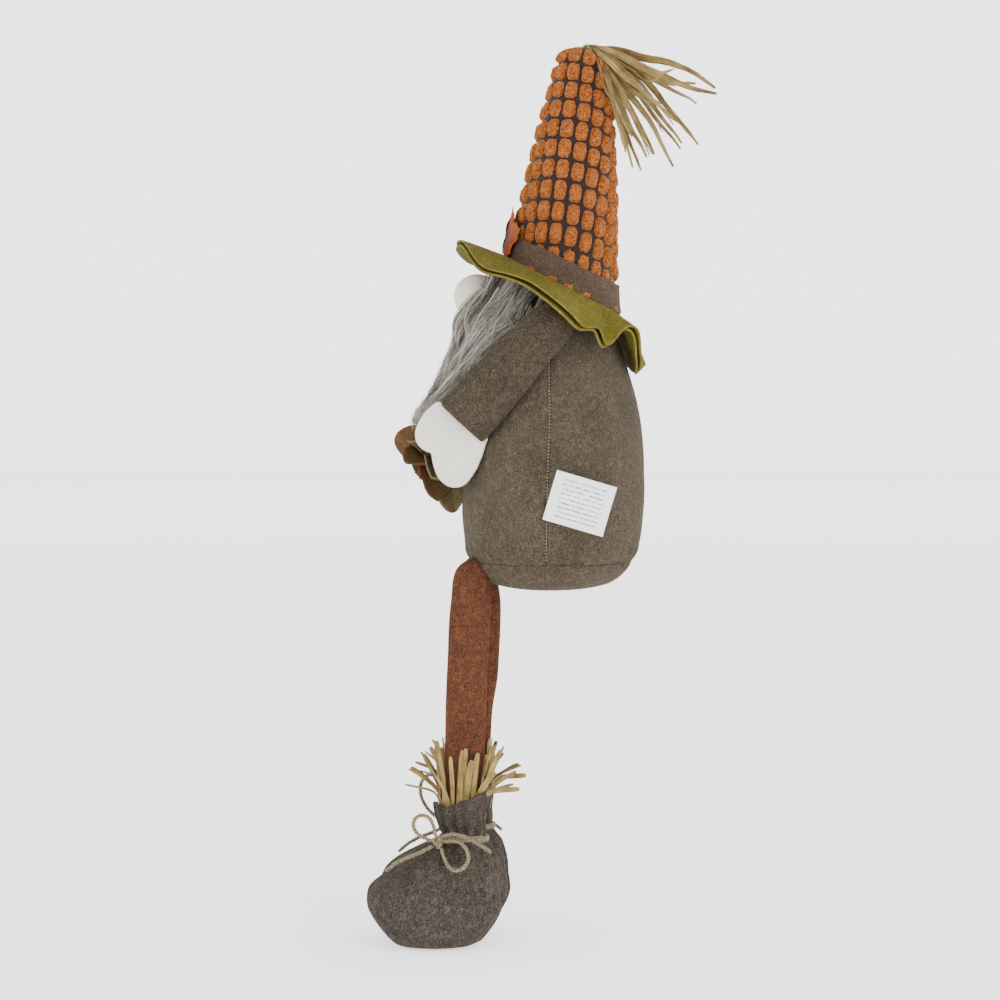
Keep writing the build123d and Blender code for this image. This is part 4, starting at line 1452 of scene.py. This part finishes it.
def make_straw(side, sign):
    rng = random.Random(31 if sign > 0 else 57)
    heap = Heap()
    for turn, lean, length, width in STRAW:
        a = math.radians(turn + rng.uniform(-4, 4))
        away = Vector((math.cos(a), -math.sin(a), 0))
        around = Vector((away.y, -away.x, 0))
        inner = 11.2 + 2.2 * abs(math.sin(a))
        start = Vector((LEG_X, -55.6, -143.0)) + Vector((away.x * inner * 0.86, away.y * inner, 0))
        path, widths = [], []
        drift = rng.uniform(-3.5, 3.5)
        total = length * rng.uniform(0.92, 1.08) + 15
        place = start.copy()
        for step in range(STRIP_STEPS):
            part = step / (STRIP_STEPS - 1)
            angle = math.radians(lean) * min(1.0, max(0.0, (part - 0.18) / 0.42)) * (0.8 + 0.35 * part)
            path.append(place + around * drift * part * part + Vector((0, 0, 0.5 * math.sin(part * 6 + turn))))
            place = place + (away * math.sin(angle) + Vector((0, 0, math.cos(angle)))) * (total / (STRIP_STEPS - 1))
            cut = 1 if part < 0.93 else 1 - 4 * (part - 0.93)
            widths.append(width * (1.0 + 0.22 * math.sin(math.pi * part)) * cut)
        for p in path:
            p.x *= sign
        facing = Vector((around.x * sign, around.y, 0))
        facing += Vector((0, rng.uniform(-0.9, 0.9), rng.uniform(0, 0.9))) * abs(away.y)
        ribbon(heap, path, widths, STRAW_THICK, facing, rng.uniform(0, 60), rng.uniform(-0.8, 0.8))
    strips = heap.piece(f"{side}_straw_strips", straw, f"{side}_foot")
    outward(strips)
    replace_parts(strips, f"{side}_straw")


# ---- twine --------------------------------------------------------------------------------
TWINE = 2.4
KNOT = Vector((41.5, -69.0, -155.0))
ROUTES = {
    "loop_lower": [(42.5, -65.1, -154.3), (45.5, -60.5, -153.0), (48.0, -55.0, -153.5), (51.5, -50.5, -157.5),
                   (54.5, -49.0, -163.5), (56.5, -52.5, -169.0), (55.5, -58.5, -170.5), (51.0, -64.0, -166.0),
                   (44.2, -66.9, -158.4)],
    "tail_front": [(41.5, -72.5, -157.0), (42.5, -77.5, -160.0), (43.5, -83.5, -162.5), (43.0, -90.0, -165.0),
                   (41.5, -96.5, -168.5), (39.0, -102.0, -173.5)],
    "tail_back": [(41.5, -67.0, -151.5), (44.5, -62.5, -149.3), (47.5, -56.5, -149.0), (49.5, -49.5, -151.0),
                  (49.5, -42.5, -155.0), (47.5, -36.0, -160.0)],
}
UPPER_LOOPS = {
    "left": [(41.5, -72.9, -154.0), (42.5, -78.0, -152.4), (44.0, -83.0, -148.5), (45.0, -85.0, -142.5),
             (44.5, -81.0, -137.5), (43.5, -75.0, -138.5), (42.3, -71.8, -144.5), (41.5, -70.7, -151.4)],
    "right": [(41.5, -72.9, -154.0), (42.5, -78.5, -151.0), (44.0, -84.5, -145.5), (45.5, -88.5, -138.0),
              (46.0, -88.5, -130.0), (45.8, -84.5, -124.5), (45.0, -79.0, -124.5), (43.8, -75.0, -130.0),
              (42.8, -72.8, -138.0), (41.5, -70.7, -151.4)],
}
ROUND = 7                       # corners of a ply's section


def spline_points(points):
    """Points along a route's smooth line, in metres, as Blender's own curve gives them."""
    data = bpy.data.curves.new("route", "CURVE")
    data.dimensions = "3D"
    data.resolution_u = 12
    spline = data.splines.new("NURBS")
    spline.points.add(len(points) - 1)
    for target, p in zip(spline.points, points):
        target.co = (p[0] * MM, p[1] * MM, p[2] * MM, 1)
    spline.use_endpoint_u = True
    spline.order_u = 3
    route = bpy.data.objects.new("route", data)
    bpy.context.scene.collection.objects.link(route)
    bpy.context.view_layer.update()
    mesh = bpy.data.meshes.new_from_object(route.evaluated_get(bpy.context.evaluated_depsgraph_get()))
    line = [v.co.copy() for v in mesh.vertices]
    bpy.data.objects.remove(route)
    bpy.data.curves.remove(data)
    bpy.data.meshes.remove(mesh)
    return line


def strands(heap, line, rng, plies=3, lay=6.5, closed_ends=True, fuzz=1.0):
    """Twisted plies round a line given in millimetres, with short loose fibres."""
    size = TWINE * 0.262
    offset = TWINE / 2 - size * 0.92
    ahead = (line[1] - line[0]).normalized()
    side = ahead.orthogonal().normalized()
    travelled = 0.0
    frames = []
    for i, p in enumerate(line):
        new = (line[min(i + 1, len(line) - 1)] - line[max(i - 1, 0)]).normalized()
        side = (side - new * side.dot(new)).normalized()
        if i:
            travelled += (p - line[i - 1]).length
        frames.append((p, new, side.copy(), new.cross(side), travelled))
    for ply in range(plies):
        points, uvs = [], []
        for i, (p, new, one, two, gone) in enumerate(frames):
            turn = math.tau * (gone / lay + ply / plies)
            thick = size * (1 + 0.12 * noise.noise(Vector((gone * 0.7, ply * 5.0, 0))))
            if closed_ends and i in (0, len(frames) - 1):
                thick *= 0.5
            out = one * math.cos(turn) + two * math.sin(turn)
            centre = p + out * offset
            for corner in range(ROUND):
                b = math.tau * corner / ROUND
                points.append(tuple(centre + (out * math.cos(b) + new.cross(out) * math.sin(b)) * thick))
                uvs.append((corner / ROUND, gone))
        heap.add(points, tube_faces(len(frames), ROUND), uvs)
    for _ in range(int(travelled * 3.2 * fuzz)):
        p, new, one, two, gone = frames[rng.randrange(1, len(frames) - 1)]
        turn = rng.uniform(0, math.tau)
        out = one * math.cos(turn) + two * math.sin(turn)
        start = p + out * TWINE * 0.42
        slant = new * rng.uniform(-1.0, 1.4)
        path = [start, start + (out + slant).normalized() * 0.6,
                start + (out * 0.7 + slant).normalized() * rng.uniform(0.9, 2.3)]
        points, uvs = [], []
        for k, q in enumerate(path):
            for corner in range(3):
                b = math.tau * corner / 3
                reach = (0.09, 0.07, 0.02)[k]
                points.append(tuple(q + (new * math.cos(b) + new.cross(out) * math.sin(b)) * reach))
                uvs.append((0, gone))
        heap.add(points, sheet_faces(3, 3, closed=True), uvs)


def make_cord(name, route, sign, foot, node, seed):
    points = [(sign * x, y, z) for x, y, z in route]
    line = spline_points(points)
    heap = Heap()
    strands(heap, [p / MM for p in line], random.Random(seed))
    cord = heap.piece(name, twine_jute, foot)
    outward(cord)
    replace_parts(cord, node)


def make_wrap_and_knot(side, sign):
    heap = Heap()
    line = []
    for step in range(150):
        a = math.tau * 2.06 * step / 149
        z = SACK_NECK - 1.25 + 2.5 * step / 149
        radius = 14.5 + 0.12 * math.sin(7 * a)
        line.append(Vector((sign * (LEG_X + radius * math.sin(a + 2.2)), -54.5 - radius * math.cos(a + 2.2), z)))
    strands(heap, line, random.Random(3), fuzz=0.7)
    wrap = heap.piece(f"{side}_neck_twine", twine_jute, f"{side}_foot")
    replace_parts(wrap, f"{side}_twine_wrap")

    knot = Heap()
    line = []
    for step in range(60):
        t = math.tau * step / 59
        x = 1.45 * (math.sin(t) + 2 * math.sin(2 * t)) * 0.55
        y = 1.45 * (math.cos(t) - 2 * math.cos(2 * t)) * 0.55
        z = -1.5 * math.sin(3 * t) * 0.8
        line.append(Vector((sign * (KNOT.x + 0.4 + z), KNOT.y + x * 1.15, KNOT.z + y * 1.15)))
    strands(knot, line, random.Random(5), closed_ends=False)
    tied = knot.piece(f"{side}_bow_knot", twine_jute, f"{side}_foot")
    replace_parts(tied, f"{side}_twine_knot")


def make_twine(side, sign):
    foot = f"{side}_foot"
    for number, (name, route) in enumerate(ROUTES.items()):
        make_cord(f"{side}_bow_{name}", route, sign, foot, f"{side}_twine_{name}", number + 40)
    make_cord(f"{side}_bow_loop_upper", UPPER_LOOPS[side], sign, foot, f"{side}_twine_loop_upper",
              44)
    make_wrap_and_knot(side, sign)


# ---- floor and light ----------------------------------------------------------------------
FLOOR_Z = -0.2218


def make_stage():
    """A wide pale floor that runs up into a rounded wall far away."""
    floor_white = Shader("studio_white", roughness=1.0)
    floor_white.surface.inputs["Emission Color"].default_value = (1, 1, 1, 1)
    floor_white.surface.inputs["Emission Strength"].default_value = 1.0
    shade = floor_white.noise(0.6, detail=1)
    material = floor_white.finish(floor_white.mix(floor_white.times(shade, 0.02), (1, 1, 1, 1),
                                                  (0.93, 0.93, 0.93, 1)))
    columns, rows = 96, 24
    points = []
    for r in range(rows):
        share = r / (rows - 1)
        radius = 6000 * min(1.0, share / 0.5) + 1200 * max(0.0, share - 0.5)
        rise = 4000 * max(0.0, (share - 0.45) / 0.55) ** 2
        for c in range(columns):
            a = math.tau * c / columns
            points.append((radius * math.cos(a), radius * math.sin(a), FLOOR_Z / MM + rise))
    floor = add_piece("floor", points, sheet_faces(rows, columns, closed=True), material)


def area_light(name, place, size, power, target=(0, -0.03, 0.05)):
    data = bpy.data.lights.new(name, "AREA")
    data.shape = "SQUARE"
    data.size = size
    data.energy = power
    light = bpy.data.objects.new(name, data)
    bpy.context.scene.collection.objects.link(light)
    light.location = place
    light.rotation_euler = (Vector(target) - Vector(place)).to_track_quat("-Z", "Y").to_euler()


def make_lights():
    world = bpy.data.worlds.new("studio")
    world.use_nodes = True
    world.node_tree.nodes["Background"].inputs["Color"].default_value = (1, 1, 1, 1)
    world.node_tree.nodes["Background"].inputs["Strength"].default_value = 1.0
    bpy.context.scene.world = world
    area_light("key", (1.2, 1.0, 1.6), 1.0, 14)
    area_light("fill", (1.4, -1.2, 0.9), 1.4, 3)
    area_light("back", (-1.4, 0.3, 1.2), 1.2, 7)


for foot_side, foot_sign in (("left", 1), ("right", -1)):
    make_twine(foot_side, foot_sign)
make_body()
make_hat_cone()
make_kernels()
make_band()
make_brim()
make_leaves()
make_tassel()
make_nose()
make_beard()
make_label()
make_flower()
for body_side, body_sign in (("left", 1), ("right", -1)):
    make_sleeve(body_side, body_sign)
    make_hand(body_side, body_sign)
    make_leg(body_side, body_sign)
    make_sack(body_side, body_sign)
    make_straw(body_side, body_sign)
make_stage()
make_lights()
